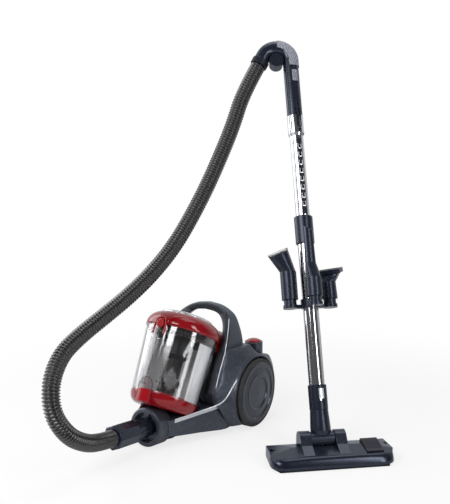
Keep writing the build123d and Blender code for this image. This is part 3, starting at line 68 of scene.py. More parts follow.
metres = Matrix.Scale(MM, 4)
canister = metres @ Matrix.Translation((-181.31, 105.57, 0))
bin_foot_y, bin_foot_z, bin_tilt = -205.1, 72.6, 28
dust_bin = canister @ Matrix.Translation((0, bin_foot_y, bin_foot_z)) @ tilted(-bin_tilt, "X")
inlet = canister @ Matrix.Translation((0, -222, 43.9)) @ tilted(85, "X")
head = metres @ Matrix.Translation((199.29, 4.27, 0)) @ tilted(43.1, "Z")
wand = head @ Matrix.Translation((-13, 24, 42)) @ tilted(-21, "X")
handle = wand @ Matrix.Translation((0, 0, 893)) @ tilted(171, "Z")
print("canister at", tuple(canister.translation))

# %% [markdown]
# ## The camera
# It looks down by a few degrees, from far enough away that near and far pieces keep nearly
# their true sizes, as in a catalogue. Its turn comes from the way that it looks, so no angle
# has to be found by trial.

# %% Camera
camera_tilt = radians(8.0)
camera_side = Vector((-0.5567, 0.8307, 0)).normalized()
camera_data = bpy.data.cameras.new("camera")
camera_data.lens = 57.14
camera_data.clip_end = 30
camera = added("camera", camera_data)
camera.location = (0.92709, -1.48843, 0.6876)
looking = camera_side * cos(camera_tilt) - Vector((0, 0, sin(camera_tilt)))
camera.rotation_euler = looking.to_track_quat("-Z", "Y").to_euler()
bpy.context.scene.camera = camera
bpy.context.scene.view_settings.view_transform = "Standard"

# %% [markdown]
# ## Writing materials as sums
# A finish is a small calculation over the surface. Nodes could be placed and linked one by
# one, but the sums would be hard to read. A Wire wraps a node's output, so that `1 - mask`
# or `grain * 0.2` adds the Math nodes by itself. Wiring holds a node tree, and a Finish is
# the wiring of one material, with the Principled shader that the sums feed.

# %% Wire
def operator(operation, flipped=False):
    """An operator of a wire with a number or a wire, as a Math node."""
    def method(wire, other=0.0):
        values = (other, wire) if flipped else (wire, other)
        return wire.finish.node("Math", {"operation": operation}, dict(enumerate(values)))
    return method


class Wire:
    """A node's output, which can be added, multiplied and compared like a number."""

    def __init__(self, finish, socket):
        self.finish = finish
        self.socket = socket

    __add__ = __radd__ = operator("ADD")
    __mul__ = __rmul__ = operator("MULTIPLY")
    __sub__, __rsub__ = operator("SUBTRACT"), operator("SUBTRACT", flipped=True)
    __gt__, __lt__ = operator("GREATER_THAN"), operator("LESS_THAN")
    __abs__ = operator("ABSOLUTE")


print("wires are ready")

# %% Wiring
class Wiring:
    """A node tree in the making."""

    def __init__(self, tree):
        self.tree = tree

    def node(self, kind, settings, inputs, output=0):
        """Adds a shader node: its settings first, then the values or wires of its sockets."""
        made = self.tree.nodes.new("ShaderNode" + kind)
        for key, value in settings.items():
            setattr(made, key, value)
        for key, value in inputs.items():
            self.feed(made.inputs[key], value)
        return Wire(self, made.outputs[output])

    def feed(self, socket, value):
        """Links a wire to a socket, or sets the socket's own value."""
        if isinstance(value, Wire):
            self.tree.links.new(value.socket, socket)
        elif socket.type == "RGBA" and len(value) == 3:
            socket.default_value = (*value, 1)
        else:
            socket.default_value = value

    def clamped(self, value, low, high):
        """A value that rises from 0 at low to 1 at high, and stays between them."""
        inputs = {"Value": value, "From Min": low, "From Max": high}
        return self.node("MapRange", {"interpolation_type": "SMOOTHSTEP"}, inputs)


print("node trees can be written")


# %% Finish
class Finish(Wiring):
    """A material in the making, with its Principled shader at hand."""

    def __init__(self, name):
        self.material = bpy.data.materials.new(name)
        self.material.use_nodes = True
        super().__init__(self.material.node_tree)
        self.shader = self.tree.nodes["Principled BSDF"]

    def set(self, **inputs):
        """Sets sockets of the Principled shader, written with _ for each space."""
        for key, value in inputs.items():
            self.feed(self.shader.inputs[key.replace("_", " ")], value)
        return self

    def place(self):
        """The point of the surface in the object's own metres."""
        return self.node("TexCoord", {}, {}, "Object")

    def parts(self, vector):
        """The three numbers of a vector."""
        return [self.node("SeparateXYZ", {}, {"Vector": vector}, axis) for axis in "XYZ"]

    def within(self, plane):
        """The point of the surface in millimetres along a plane's axes."""
        inputs = {
            "Vector": self.place(), "Location": tuple(plane.translation), "Scale": (MM, MM, MM),
            "Rotation": tuple(plane.to_3x3().normalized().to_euler()),
        }
        return self.parts(self.node("Mapping", {"vector_type": "TEXTURE"}, inputs))

    def facing(self):
        """The way that the surface faces, along the object's own axes."""
        return self.parts(self.node("TexCoord", {}, {}, "Normal"))

    def noise(self, scale, detail=2.0, roughness=0.5):
        """Soft noise from 0 to 1, in so many grains to the metre."""
        inputs = {"Vector": self.place(), "Scale": scale, "Detail": detail, "Roughness": roughness}
        return self.node("TexNoise", {}, inputs, "Fac")

    def mix(self, share, first, second):
        """A colour between two, by a share from 0 to 1."""
        return self.node("Mix", {"data_type": "RGBA"}, {0: share, 6: first, 7: second}, 2)

    def relief(self, height, strength=0.2, distance=0.0005, edge=0.0):
        """Feeds a height in metres to the normal, over softly rounded edges."""
        inputs = {"Height": height, "Strength": strength, "Distance": distance}
        if edge:
            inputs["Normal"] = self.node("Bevel", {"samples": 6}, {"Radius": edge})
        return self.set(Normal=self.node("Bump", {}, inputs))


print("a finish can be written")

# %% [markdown]
# ## Plastics
# Most of the machine is moulded plastic. The housing has fine metal flakes under a clear
# gloss, the working parts are satin black, and the buttons are a deep red. One flat colour
# would look like a toy, so gloss and shade drift slowly over each part and a fine grain
# roughens it. Moulded edges are never sharp, so the Bevel node rounds the normals over about
# a millimetre without adding a face. The blacks mirror a little bluish, which keeps them
# cool under white light.

# %% Moulded plastics
cool, faintly_cool = (0.66, 0.76, 1.0, 1.0), (0.72, 0.82, 1.0, 1.0)
# Each cell of the flake pattern has a chance from 0 to 1, and shines from here on.
flake_from = 0.72


def moulded(name, colour, roughness, grain=0.0, edge=0.0012, lighter=None):
    """A plastic with slightly uneven gloss and a faint moulded grain."""
    finish = Finish(name)
    lighter = lighter or tuple(min(1.0, part * 1.18 + 0.002) for part in colour)
    finish.set(
        Base_Color=finish.mix(finish.noise(14.0, 4.0), colour, lighter),
        Roughness=roughness + (finish.noise(90.0, 3.0) - 0.5) * 0.08,
    )
    finish.relief(finish.noise(2600.0, 2.0), grain, 0.0002, edge)
    return finish


def flaked(name, colour, flake, roughness, coat=0.6, edge=0.0015, black=None):
    """A metallic plastic: small bright flakes in a darker body, under a clear coat.
    Where black gives 1, the flakes end and the plastic is painted plain black, as painted shade."""
    finish = Finish(name)
    plain = 1.0 - black(finish) if black else 1.0
    size = {"Vector": finish.place(), "Scale": 1400.0}
    cells = finish.node("TexVoronoi", {}, size, "Color")
    chance = finish.node("SeparateColor", {}, {"Color": cells})
    sparkle = ((chance > flake_from) * 0.55 + finish.noise(30.0, 3.0) * 0.16) * plain
    body = finish.mix(plain, (0.008, 0.008, 0.010), colour) if black else colour
    finish.set(
        Base_Color=finish.mix(sparkle, body, flake),
        Metallic=((chance > flake_from) * 0.35 + 0.25) * plain,
        Roughness=roughness + (finish.noise(60.0, 3.0) - 0.5) * 0.08,
        Coat_Weight=coat,
        Coat_Roughness=0.08,
        Specular_Tint=faintly_cool,
    )
    finish.relief(finish.noise(1500.0, 2.0), 0.05, 0.0002, edge)
    return finish


# %% Painted shade: where the housing turns plain black
def either(finish, first, second):
    """1 where at least one of two masks is 1."""
    settings = {"operation": "MAXIMUM", "use_clamp": True}
    return finish.node("Math", settings, {0: first, 1: second})


def painted_shade_in_casing(finish):
    """Painted shade: the pocket round the dust bin and the upper front faces of the cheeks are painted
    black.
    """
    across, along, up = finish.within(canister)
    forward = finish.facing()[1]
    pocket = (abs(across) < 91.5) * (along < -8.0)
    cheek_front = (forward < -0.45) * (along < -60.0) * (abs(across) < 97.2) * (up > 150.0)
    return either(finish, pocket, cheek_front)


def painted_shade_on_arch(finish):
    """Painted shade: the front and the underside of the carry handle are painted black."""
    side = (finish.within(canister)[0] > 0.0) * 2.0 - 1.0
    x, y, z = finish.facing()
    return either(finish, y < -0.30, side * x + z * 0.8 < -0.35)


# %% The plastics of this machine
charcoal, charcoal_flake = (0.012, 0.014, 0.022), (0.150, 0.164, 0.205)
housing = flaked("housing", charcoal, charcoal_flake, 0.38, 0.30)
# The casing's pocket and the fronts of its cheeks are painted black as shade.
casing_flakes_and_painted_shade = flaked("casing_flakes_and_painted_shade", charcoal, charcoal_flake, 0.42, 0.25, black=painted_shade_in_casing)
# The carry handle's front and underside are painted black as shade.
arch_flakes_and_painted_shade = flaked("arch_flakes_and_painted_shade", charcoal, charcoal_flake, 0.40, 0.20, black=painted_shade_on_arch)
head_finish = flaked("head_finish", (0.007, 0.009, 0.016), (0.050, 0.058, 0.090), 0.26, 0.20)
wheel_finish = flaked("wheel_finish", (0.012, 0.014, 0.019), (0.055, 0.062, 0.080), 0.36, 0.35)
satin_black = moulded("satin_black", (0.010, 0.010, 0.014), 0.38, 0.08)
satin_black.set(Specular_IOR_Level=0.25, Specular_Tint=cool)
tool_black = moulded("tool_black", (0.007, 0.009, 0.017), 0.30, 0.02)
tool_black.set(Specular_IOR_Level=0.40, Specular_Tint=cool, Coat_Weight=0.12, Coat_Roughness=0.14)
gloss_black = moulded("gloss_black", (0.005, 0.006, 0.012), 0.22, 0.01)
gloss_black.set(Specular_IOR_Level=0.6, Specular_Tint=cool)
red_gloss = moulded("red_gloss", (0.32, 0.004, 0.009), 0.16, 0.02, lighter=(0.37, 0.005, 0.010))
red_gloss.set(Coat_Weight=0.4, Specular_IOR_Level=0.3)
silver = flaked("silver", (0.56, 0.58, 0.62), (0.80, 0.81, 0.85), 0.26, 0.3, 0.0006)
deep_black = moulded("deep_black", (0.003, 0.003, 0.004), 0.34, 0.05).set(Specular_IOR_Level=0.2)
light_grip = moulded("light_grip", (0.23, 0.24, 0.28), 0.52, 0.30)
dots = {"Vector": light_grip.place(), "Scale": 300.0, "Randomness": 0.15}
dots = light_grip.clamped(light_grip.node("TexVoronoi", {}, dots, "Distance"), 0.42, 0.30)
light_grip.set(Base_Color=light_grip.mix(dots, (0.17, 0.18, 0.22), (0.42, 0.44, 0.50)))
print("plastics:", len(bpy.data.materials))

# %% [markdown]
# ## Clear plastics
# The jar is clear polycarbonate, which mirrors the room most where it is seen at a glance.
# Glass with refraction needs many rays, and a game engine drops it. So a clear finish is a
# mirror that is mostly transparent. How much it mirrors is Layer Weight's Facing to the
# third power, because Fresnel turns every back face into a full mirror. The lid is a tinted
# red that lets hardly anything through, and the latch is clear above its red foot. A pale
# wall inside the jar's back is painted light, for the white that the clear jar shows.

# %% Helpers for see-through plastics
def clear(name, least, glance, roughness):
    """A clear plastic: what it doesn't let through, it mirrors, most of all at a glance."""
    finish = Finish(name)
    aside = finish.node("LayerWeight", {}, {"Blend": 0.5}, "Facing")
    finish.set(
        Base_Color=finish.mix(finish.noise(12.0, 3.0), (0.90, 0.92, 0.96), (0.97, 0.97, 0.99)),
        Alpha=aside * aside * aside * glance + least,
        Metallic=1.0,
        Roughness=roughness + finish.noise(40.0, 3.0) * 0.04,
    )
    finish.material.blend_method = "BLEND"
    return finish


def tinted(name, colour, deep, alpha):
    """A red see-through plastic that is deeper in some places than in others."""
    finish = Finish(name)
    finish.set(
        Base_Color=finish.mix(finish.noise(16.0, 2.0), colour, deep),
        Alpha=alpha + finish.noise(5.0, 2.0) * 0.02,
        Roughness=0.10 + finish.noise(50.0, 3.0) * 0.05,
        Specular_IOR_Level=0.25,
        Coat_Weight=0.5,
        Coat_Roughness=0.02,
    )
    finish.relief(finish.noise(30.0, 2.0), 0.03, 0.0004, 0.0012)
    finish.material.blend_method = "BLEND"
    return finish


# %% See-through plastics
latch_red = tinted("latch_red", (0.38, 0.004, 0.010), (0.30, 0.003, 0.008), 0.94)
latch_height = latch_red.within(dust_bin)[2]
latch_red.set(Alpha=latch_red.clamped(latch_height, 32.0, 30.5) * 0.90 + 0.05)
clear_jar = clear("clear_jar", 0.07, 0.75, 0.07)
# A pale wall inside the jar's back is painted light, for the white that the clear jar shows.
painted_light_liner = moulded("painted_light_liner", (0.86, 0.87, 0.89), 0.30, 0.02, 0.0, lighter=(0.90, 0.91, 0.93))
painted_light_liner.set(Alpha=painted_light_liner.noise(20.0, 2.0) * 0.06 + 0.90)
painted_light_liner.material.blend_method = "BLEND"
clear_cap = clear("clear_cap", 0.40, 0.6, 0.12)
clear_cap.set(Metallic=0.35)
red_lid = tinted("red_lid", (0.27, 0.003, 0.008), (0.20, 0.002, 0.006), 0.95)
print("with the clear ones:", len(bpy.data.materials))

# %% [markdown]
# ## Metals, rubber and felt
# The wand's tubes are chromed steel, smooth enough to show the room in long streaks. Axles
# and screws are turned steel, the tyres are dull rubber, the filters are felt, and the
# bristles have pale tips. Image textures could carry this, but noise in the object's own
# metres needs no unwrapping and shows no seams.

# %% Metals, rubber and felt
def metal(name, colour, roughness, brushed=0.0):
    """A metal with fine streaks in its gloss, and in its surface where it is brushed."""
    finish = Finish(name)
    streak = finish.noise(420.0, 3.0)
    finish.set(
        Base_Color=finish.mix(finish.noise(9.0, 3.0), colour, tuple(c * 0.88 for c in colour)),
        Metallic=1.0,
        Roughness=roughness + streak * 0.06,
    )
    finish.relief(streak, brushed, 0.0002)
    return finish


chrome = metal("chrome", (0.60, 0.61, 0.64), 0.07)
steel = metal("steel", (0.50, 0.50, 0.52), 0.30, 0.1)
rubber = moulded("rubber", (0.014, 0.014, 0.016), 0.62, 0.35)
hose_black = moulded("hose_black", (0.006, 0.006, 0.008), 0.24, 0.05, 0.0).set(Coat_Weight=0.5)
felt = moulded("felt", (0.60, 0.60, 0.57), 0.95, 0.6, 0.0)
bristle = moulded("bristle", (0.020, 0.020, 0.022), 0.70, 0.5, 0.0)
tip = bristle.clamped(bristle.noise(240.0, 2.0), 0.45, 0.55)
bristle.set(Base_Color=bristle.mix(tip, (0.016, 0.016, 0.018), (0.30, 0.30, 0.31)))
print("materials:", len(bpy.data.materials))

# %% [markdown]
# ## Which part has which finish
# Each node of the frame carries one material. They could be set piece by piece, but one
# table from finish to nodes keeps the whole choice in sight and makes a forgotten part easy
# to spot.

# %% The table of finishes
finishes = {
    housing: "chassis nose_drum button_sleeves",
    head_finish: "head_shell handle_shell hose_cuff",
    wheel_finish: "left_wheel_disc right_wheel_disc",
    casing_flakes_and_painted_shade: "casing",
    arch_flakes_and_painted_shade: "carry_handle",
    latch_red: "base_latch",
    deep_black: "lid_skirt cyclone release_rod",
    satin_black: "caster_fork caster_wheel inner_bracket cord_reel rear_grille cord_outlet"
    " hose_swivel_ring rack_strip head_sole pedal",
    tool_black: "dusting_brush crevice_tool upholstery_nozzle latch_collar accessory_holder"
    " neck_socket elbow",
    gloss_black: "head_bumper handle_button",
    red_gloss: "lid_duct bin_button power_button rewind_button",
    red_lid: "bin_lid bin_base",
    clear_jar: "bin_jar",
    clear_cap: "lid_cap",
    silver: "trim_strips neck_button latch_slider",
    light_grip: "grip_panel suction_slider",
    chrome: "upper_tube lower_tube",
    steel: "wheel_axles casing_screws head_rollers motor_can motor_rotor",
    rubber: "left_tyre right_tyre",
    hose_black: "hose",
    felt: "motor_filter exhaust_filter",
    bristle: "brush_bristles brush_strip",
}
for finish, names in finishes.items():
    for name in names.split():
        nodes[name].data.materials.clear()
        nodes[name].data.materials.append(finish.material)
print("finished nodes:", sum(len(names.split()) for names in finishes.values()))

# %% [markdown]
# ## Meshes from rows
# Hoses, shells, ribs and rims are rows of points joined side by side. Curves could be swept
# and modifiers stacked, but rows keep every size a plain number and give even faces. The
# helpers join rows, clean the mesh, and hang it on its body, often in place of a node.

# %% Helpers that make a mesh from rows
def full_turn(steps):
    """The angles of so many even steps round a circle."""
    return [2 * pi * step / steps for step in range(steps)]


def polar(plane, radius, turn, height):
    """A point by its distance from a plane's axis, its angle round it, and its height."""
    return plane @ Vector((radius * cos(turn), radius * sin(turn), height))


def row_across(plane, across, outline):
    """A row of points at one place across a plane, from an outline of depth and height."""
    return [plane @ Vector((across, y, z)) for y, z in outline]


def mesh_of(name, rows, round_section=True, capped=False):
    """A mesh from rows of points with as many points each, joined row to row."""
    made = bpy.data.meshes.new(name)
    count = len(rows[0])
    points = [point for row in rows for point in row]
    faces = []
    for row in range(len(rows) - 1):
        for step in range(count if round_section else count - 1):
            after = (step + 1) % count
            low, high = row * count, (row + 1) * count
            faces.append((low + step, low + after, high + after, high + step))
    if capped:
        faces.append(tuple(reversed(range(count))))
        faces.append(tuple((len(rows) - 1) * count + step for step in range(count)))
    made.from_pydata(points, [], faces)
    made.shade_smooth()
    return made


def merged(mesh, close=False):
    """Merges the points that lie together, closes open ends if asked, and turns faces out."""
    shape = bmesh.new()
    shape.from_mesh(mesh)
    bmesh.ops.remove_doubles(shape, verts=shape.verts, dist=0.00002)
    bmesh.ops.dissolve_degenerate(shape, edges=shape.edges, dist=0.00001)
    if close:
        bmesh.ops.holes_fill(shape, edges=[edge for edge in shape.edges if edge.is_boundary])
    bmesh.ops.recalc_face_normals(shape, faces=shape.faces)
    shape.to_mesh(mesh)
    shape.free()
    return mesh


def creased(mesh, degrees):
    """Keeps the edges sharp where two faces meet at more than an angle."""
    mesh.set_sharp_from_angle(angle=radians(degrees))
    return mesh


# %% Helpers that hang a mesh on its body
def hang(name, mesh, body, finish):
    """An object for a mesh, riding on a body, in a finish that stands for a material slot."""
    piece = added(name, mesh)
    mesh.materials.append(finish.material)
    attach(piece, body)
    return piece


def swap(name, mesh, body, finish, slot, *replaced):
    """Hangs a closed mesh in the place of the frame's own nodes."""
    piece = hang(name, merged(mesh, close=True), body, finish)
    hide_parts(*replaced)
    return piece


# %% [markdown]
# ## Smooth lines
# Beads and the hose follow a line that bends gently. A NURBS curve gives one from a few
# control points, and its points carry the rings of a tube. It passes beside its controls, so
# an outline that has to meet each point is worked out from every four neighbours instead.

# %% Helpers that follow a smooth line
def smooth_line(name, points, resolution=24):
    """The points of a NURBS curve that follows a list of control points."""
    curve = bpy.data.curves.new(name, "CURVE")
    curve.dimensions = "3D"
    spline = curve.splines.new("NURBS")
    spline.points.add(len(points) - 1)
    for control, point in zip(spline.points, points):
        control.co = (*point, 1)
    spline.order_u = 3
    spline.use_endpoint_u = True
    spline.resolution_u = resolution
    mesh = bpy.data.meshes.new_from_object(bpy.data.objects.new(name, curve))
    found = [vertex.co.copy() for vertex in mesh.vertices]
    bpy.data.meshes.remove(mesh)
    return found


def rings_along(line, radii, sides=28):
    """Rings square to a line that don't twist from one to the next."""
    rings = []
    heading = (line[1] - line[0]).normalized()
    across = heading.orthogonal().normalized()
    for index, point in enumerate(line):
        before, after = line[max(index - 1, 0)], line[min(index + 1, len(line) - 1)]
        heading = (after - before).normalized()
        across = (across - heading * across.dot(heading)).normalized()
        beside = heading.cross(across)
        radius = radii(index)
        rings.append([
            point + radius * (across * cos(turn) + beside * sin(turn))
            for turn in full_turn(sides)
        ])
    return rings


def strand(name, points, radius, body, finish, sides=10):
    """A thin round bead or wire along a smooth line."""
    rings = rings_along(smooth_line(name, points, 10), lambda index: radius, sides)
    return hang(name, mesh_of(name, rings, capped=True), body, finish)


# %% Helpers for outlines
def through(points, steps):
    """A smooth row of points that passes through all the given ones."""
    known = [Vector(point) for point in points]
    known = [known[0] * 2 - known[1], *known, known[-1] * 2 - known[-2]]
    row = []
    for a, b, c, d in zip(known, known[1:], known[2:], known[3:]):
        slope, bend, twist = c - a, 2 * a - 5 * b + 4 * c - d, 3 * b - a - 3 * c + d
        for t in [step / steps for step in range(steps)]:
            row.append(0.5 * (2 * b + slope * t + bend * t**2 + twist * t**3))
    return [tuple(point) for point in (*row, known[-2])]


def mirrored(half):
    """An outline from its left half, which ends in the middle."""
    return [*half, *[(-x, z) for x, z in reversed(half[:-1])]]


def reading(table, value):
    """A value read from a table of pairs, in straight steps between them."""
    for (low, at_low), (high, at_high) in zip(table, table[1:]):
        if value <= high:
            share = max(0.0, (value - low) / (high - low))
            return at_low + (at_high - at_low) * share
    return table[-1][1]


# %% [markdown]
# ## The dust bin's shells
# The dust bin is a stack of turned parts: a red bowl, a clear jar that widens upwards to a
# collar, a red ring with a rolled shoulder, and a clear domed cap over a felt pad. The Screw
# modifier could sweep them too. Here each is a profile of radius and height that starts and
# ends on the axis, or meets itself, so that each shell has real walls.

# %% Turned shells
# A profile meets the axis at this radius, so that no two points of a ring fall together.
hub = 0.01


def turned(name, plane, profile, steps):
    """A shell swept round a plane's Z from a profile of radius and height."""
    turns = full_turn(steps)
    rows = [[polar(plane, radius, turn, height) for turn in turns] for radius, height in profile]
    return creased(mesh_of(name, rows), 40)


# %% Profiles of the shells
jar_foot, jar_head, lid_foot = 28.0, 164.0, 181.0
foot_radius, head_radius, jar_wall, collar = 78.9, 86.4, 2.0, 1.5
bowl_side = [(60, 0.2), (67.5, 3), (73.0, 8.0), (76.8, 14.5), (78.6, 21), (79.2, 27)]
bowl_profile = [
    (hub, 0), (58, 0), *through(bowl_side, 5), (79.2, 28.2), (78.4, 28.8), (76.4, 28.8),
    (76.0, 33), (73, 33), (72.5, 14), (58, 4), (hub, 4),
]
jar_profile = [
    (foot_radius - jar_wall, jar_foot), (foot_radius, jar_foot), (head_radius, jar_head),
    (head_radius + collar, jar_head + 1.5), (head_radius + collar, jar_head + 4.5),
    (head_radius, jar_head + 6), (head_radius, lid_foot), (head_radius - jar_wall, lid_foot),
    (head_radius - jar_wall, jar_head), (foot_radius - jar_wall, jar_foot),
]
shoulder = [(89.8, 187), (88.9, 194), (86.4, 201), (82.0, 207.4), (76, 212.6), (69.5, 216.4), (63, 218.6)]
ring_profile = [
    (hub, lid_foot), (88.6, lid_foot), (89.8, 182.6), *through(shoulder, 4),
    (60, 218.6), (59, 217.6), (59, 185), (hub, 185),
]
cap_radius, cap_seat, cap_rise = 62, 221.4, 7.2
dome_turns = [pi / 2 * (1 - step / 10) for step in range(10)]
dome = [(cap_radius * sin(turn), cap_seat + cap_rise * cos(turn)) for turn in dome_turns]
cap_profile = [
    (58.6, 216.8), (58.6, 218.8), (cap_radius, 218.8), *dome,
    (hub, cap_seat + cap_rise), (hub, 226.4), (50, 221), (55, 216.8), (58.6, 216.8),
]
pad_profile = [(hub, 186), (57, 186), (57.6, 188), (57.6, 212), (56, 214), (hub, 214.5)]

# %% The shells in their finishes
shells = {}
for name, profile, steps, finish, slot, node in (
    ("jar", jar_profile, 128, clear_jar, "clear_plastic", "bin_jar"),
    ("bowl", bowl_profile, 128, red_lid, "red_clear", "bin_base"),
    ("lid_ring", ring_profile, 128, red_lid, "red_clear", "bin_lid"),
    ("cap", cap_profile, 128, clear_cap, "clear_plastic", "lid_cap"),
    ("filter_pad", pad_profile, 96, felt, "filter_felt", "motor_filter"),
):
    shells[name] = swap(name, turned(name, dust_bin, profile, steps), "dust_bin", finish, slot, node)
print("shells:", ", ".join(shells))

# %% [markdown]
# ## The pale rear wall
# A pale wall just inside the back of the jar is painted light: it gives the dark cyclone a
# pale ground, for the white that the clear jar shows. It could be a zone of the jar's own
# finish, but a thin wall just inside it also throws light forwards.

# %% The rear wall, painted light
wall_from, wall_sweep, wall_steps = -18, 216, 60
wall_edges = ((76.4, 30), (76.4, 163), (75.0, 163), (75.0, 30))
wall_rows = []
for step in range(wall_steps + 1):
    turn = radians(wall_from + wall_sweep * step / wall_steps)
    wall_rows.append([polar(dust_bin, radius, turn, height) for radius, height in wall_edges])
painted_light_wall = creased(merged(mesh_of("jar_back_painted_light", wall_rows, capped=True), close=True), 40)
hang("jar_back_painted_light", painted_light_wall, "dust_bin", painted_light_liner)
print("rear wall:", len(painted_light_wall.polygons), "faces")

# %% [markdown]
# ## Inside the jar
# Air spins under a ribbed skirt round the finned neck of the cyclone and leaves its dust in
# the bowl. A rod beside it joins the button on the lid to the latch below. The skirt's ribs
# could be cut one by one, but small steps in its radius do the same in one mesh.

# %% The ribbed skirt
skirt_radius, groove, skirt_steps = 80, 2.2, 240
skirt_profile = ((62, 165.5), (skirt_radius, 165.5), (skirt_radius, 180.8), (62, 180.8), (62, 165.5))


def ribbed(radius, step):
    """On the skirt's outside, two steps of rib follow each two steps of groove."""
    return radius - groove if radius == skirt_radius and step % 4 < 2 else radius


skirt_rows = []
for radius, height in skirt_profile:
    steps = enumerate(full_turn(skirt_steps))
    skirt_rows.append([polar(dust_bin, ribbed(radius, step), turn, height) for step, turn in steps])
skirt = mesh_of("skirt_ribbed", skirt_rows)
swap("skirt_ribbed", skirt, "dust_bin", deep_black, "dark_plastic", "lid_skirt")
print("skirt: ribs", skirt_steps // 4)

# %% The cyclone, its legs and its fins
def block(name, plane, low, high, round_off=1.2):
    """A block with rounded edges between two corners of a plane."""
    made = bpy.data.meshes.new(name)
    shape = bmesh.new()
    bmesh.ops.create_cube(shape, size=1.0)
    size = [b - a for a, b in zip(low, high)]
    centre = [(a + b) / 2 for a, b in zip(low, high)]
    bmesh.ops.scale(shape, vec=size, verts=shape.verts)
    bmesh.ops.bevel(shape, geom=shape.edges[:], offset=round_off, segments=3, profile=0.5, affect="EDGES")
    bmesh.ops.translate(shape, vec=centre, verts=shape.verts)
    bmesh.ops.transform(shape, matrix=plane, verts=shape.verts)
    shape.to_mesh(made)
    shape.free()
    made.shade_smooth()
    return creased(made, 50)


cone_profile = [
    (hub, 180.8), (30, 180.8), (30, 152), (28.6, 151), (28.6, 133), (30, 132), (30, 128),
    (20, 118), (20, 74), (30, 69), (30, 59), (27, 59), (20, 66), (hub, 64),
]
cone = turned("cyclone_cone", dust_bin, cone_profile, 64)
swap("cyclone_cone", cone, "dust_bin", deep_black, "dark_plastic", "cyclone")
for number, x in ((1, -12), (2, 14)):
    leg = block("cyclone_leg", dust_bin, (x - 5, -16, 5), (x + 5, 8, 66))
    hang(f"cyclone_leg_{number}", leg, "dust_bin", deep_black)
fin_count = 12
for number in range(fin_count):
    fin_plane = dust_bin @ tilted(number * 360 / fin_count, "Z")
    fin = block("cyclone_fin", fin_plane, (27, -1.6, 130), (30.6, 1.6, 153), 0.6)
    hang(f"cyclone_fin_{number + 1}", fin, "dust_bin", satin_black)
print("cyclone: legs 2, fins", fin_count)

# %% The release rod
rod_plane = dust_bin @ Matrix.Translation((-32, -55, 0))
rod_profile = [
    (hub, 44), (8.6, 44), (8.6, 47), (5, 49), (5, 70), (7.4, 71), (7.4, 132), (5, 133),
    (5, 180), (hub, 180),
]
rod = turned("rod_turned", rod_plane, rod_profile, 32)
swap("rod_turned", rod, "rod", deep_black, "dark_plastic", "release_rod")
print("rod: height", rod_profile[-1][1] - rod_profile[0][1])

# %% [markdown]
# ## The latch
# The latch is a tongue bent to the jar's wall, with a round top. A fine dark line along its
# edge is painted shade, where the edge of the clear tongue looks dark. A flat tongue could be
# bent by a modifier, but columns that stand on the jar's own widening radius hug the wall at
# every height.

# %% The latch tongue, and painted shade along its edge
tongue_half, tongue_crown = 19.0, 39


def on_the_jar(across, height, out):
    """A point in front of the jar's wall, by its place across, its height and its distance out."""
    widening = (head_radius - foot_radius) / (jar_head - jar_foot)
    reach = foot_radius + widening * (max(height, 8) - jar_foot) + out
    return dust_bin @ Vector((across, -sqrt(reach**2 - across**2), height))


tongue_rows = []
for column in range(29):
    across = -tongue_half + 2 * tongue_half * column / 28
    top = tongue_crown + sqrt(max(tongue_half**2 - across**2, 0.0))
    outline = ((4, 0.6), (4, 3.6), (18, 3.6), (31, 3.6), (top, 3.0), (top, 0.6), (31, 0.6), (18, 0.6))
    tongue_rows.append([on_the_jar(across, height, out) for height, out in outline])
tongue = creased(mesh_of("latch_tongue", tongue_rows, capped=True), 40)
swap("latch_tongue", tongue, "latch", latch_red, "red_gloss", "base_latch")
# A dark bead along the tongue's edge paints the shade of its clear edge.
tongue_edge = mirrored([(-19, 8), (-19, 20), (-19, 34), (-18.4, 42), (-14, 51.5), (-7.6, 56.6), (0, 58)])
painted_shade_edge_line = [on_the_jar(x, z, 3.4) for x, z in tongue_edge]
strand("latch_edge_painted_shade", painted_shade_edge_line, 0.0007, "latch", tool_black)
print("latch: columns", len(tongue_rows))

# %% [markdown]
# ## The button
# A round red button sits in an arched frame on the lid's shoulder. A painted shade would do
# if it stood still, but the button sinks in when pressed, so a Boolean with a turned plug
# cuts a real recess into the ring, and the result is kept as plain mesh.

# %% The button and its recess
button_plane = dust_bin @ Matrix.Translation((0, -87, 182)) @ tilted(90, "X")
button_profile = [
    (hub, 8.2), (5.6, 8.0), (6.4, 8.9), (9.2, 8.7), (10.4, 7.4), (10.5, 3.0), (hub, 3.0),
]
button = turned("lid_button", button_plane, button_profile, 48)
swap("lid_button", button, "lid_button", red_gloss, "red_gloss", "bin_button")


def carve(piece, plug_mesh):
    """Cuts a closed mesh out of a piece, for good."""
    plug = added("plug", plug_mesh)
    cut = piece.modifiers.new("cut", "BOOLEAN")
    cut.operation, cut.solver, cut.object = "DIFFERENCE", "EXACT", plug
    bpy.context.view_layer.update()
    seen = piece.evaluated_get(bpy.context.evaluated_depsgraph_get())
    result = bpy.data.meshes.new_from_object(seen)
    piece.modifiers.clear()
    piece.data = result
    bpy.data.objects.remove(plug)


recess_profile = [(hub, -3.4), (11.2, -3.4), (11.2, 14), (hub, 14)]
carve(shells["lid_ring"], merged(turned("recess", button_plane, recess_profile, 48), close=True))
print("lid ring with its recess:", len(shells["lid_ring"].data.polygons), "faces")
frame_edge = mirrored([(-15.4, -25), (-15.2, -14), (-14.6, -2), (-12.4, 7.4), (-7, 13.2), (0, 15)])
frame_line = [button_plane @ Vector((x, z, 4.6)) for x, z in frame_edge]
strand("button_frame", frame_line, 0.0023, "dust_bin", red_gloss, 14)

# %% [markdown]
# ## The duct behind the lid
# A red shoulder behind the lid leads the air to the motor. No box or lathe gives its form,
# so it is a row of side outlines: the front follows the round lid, and the crown falls off
# towards both sides.

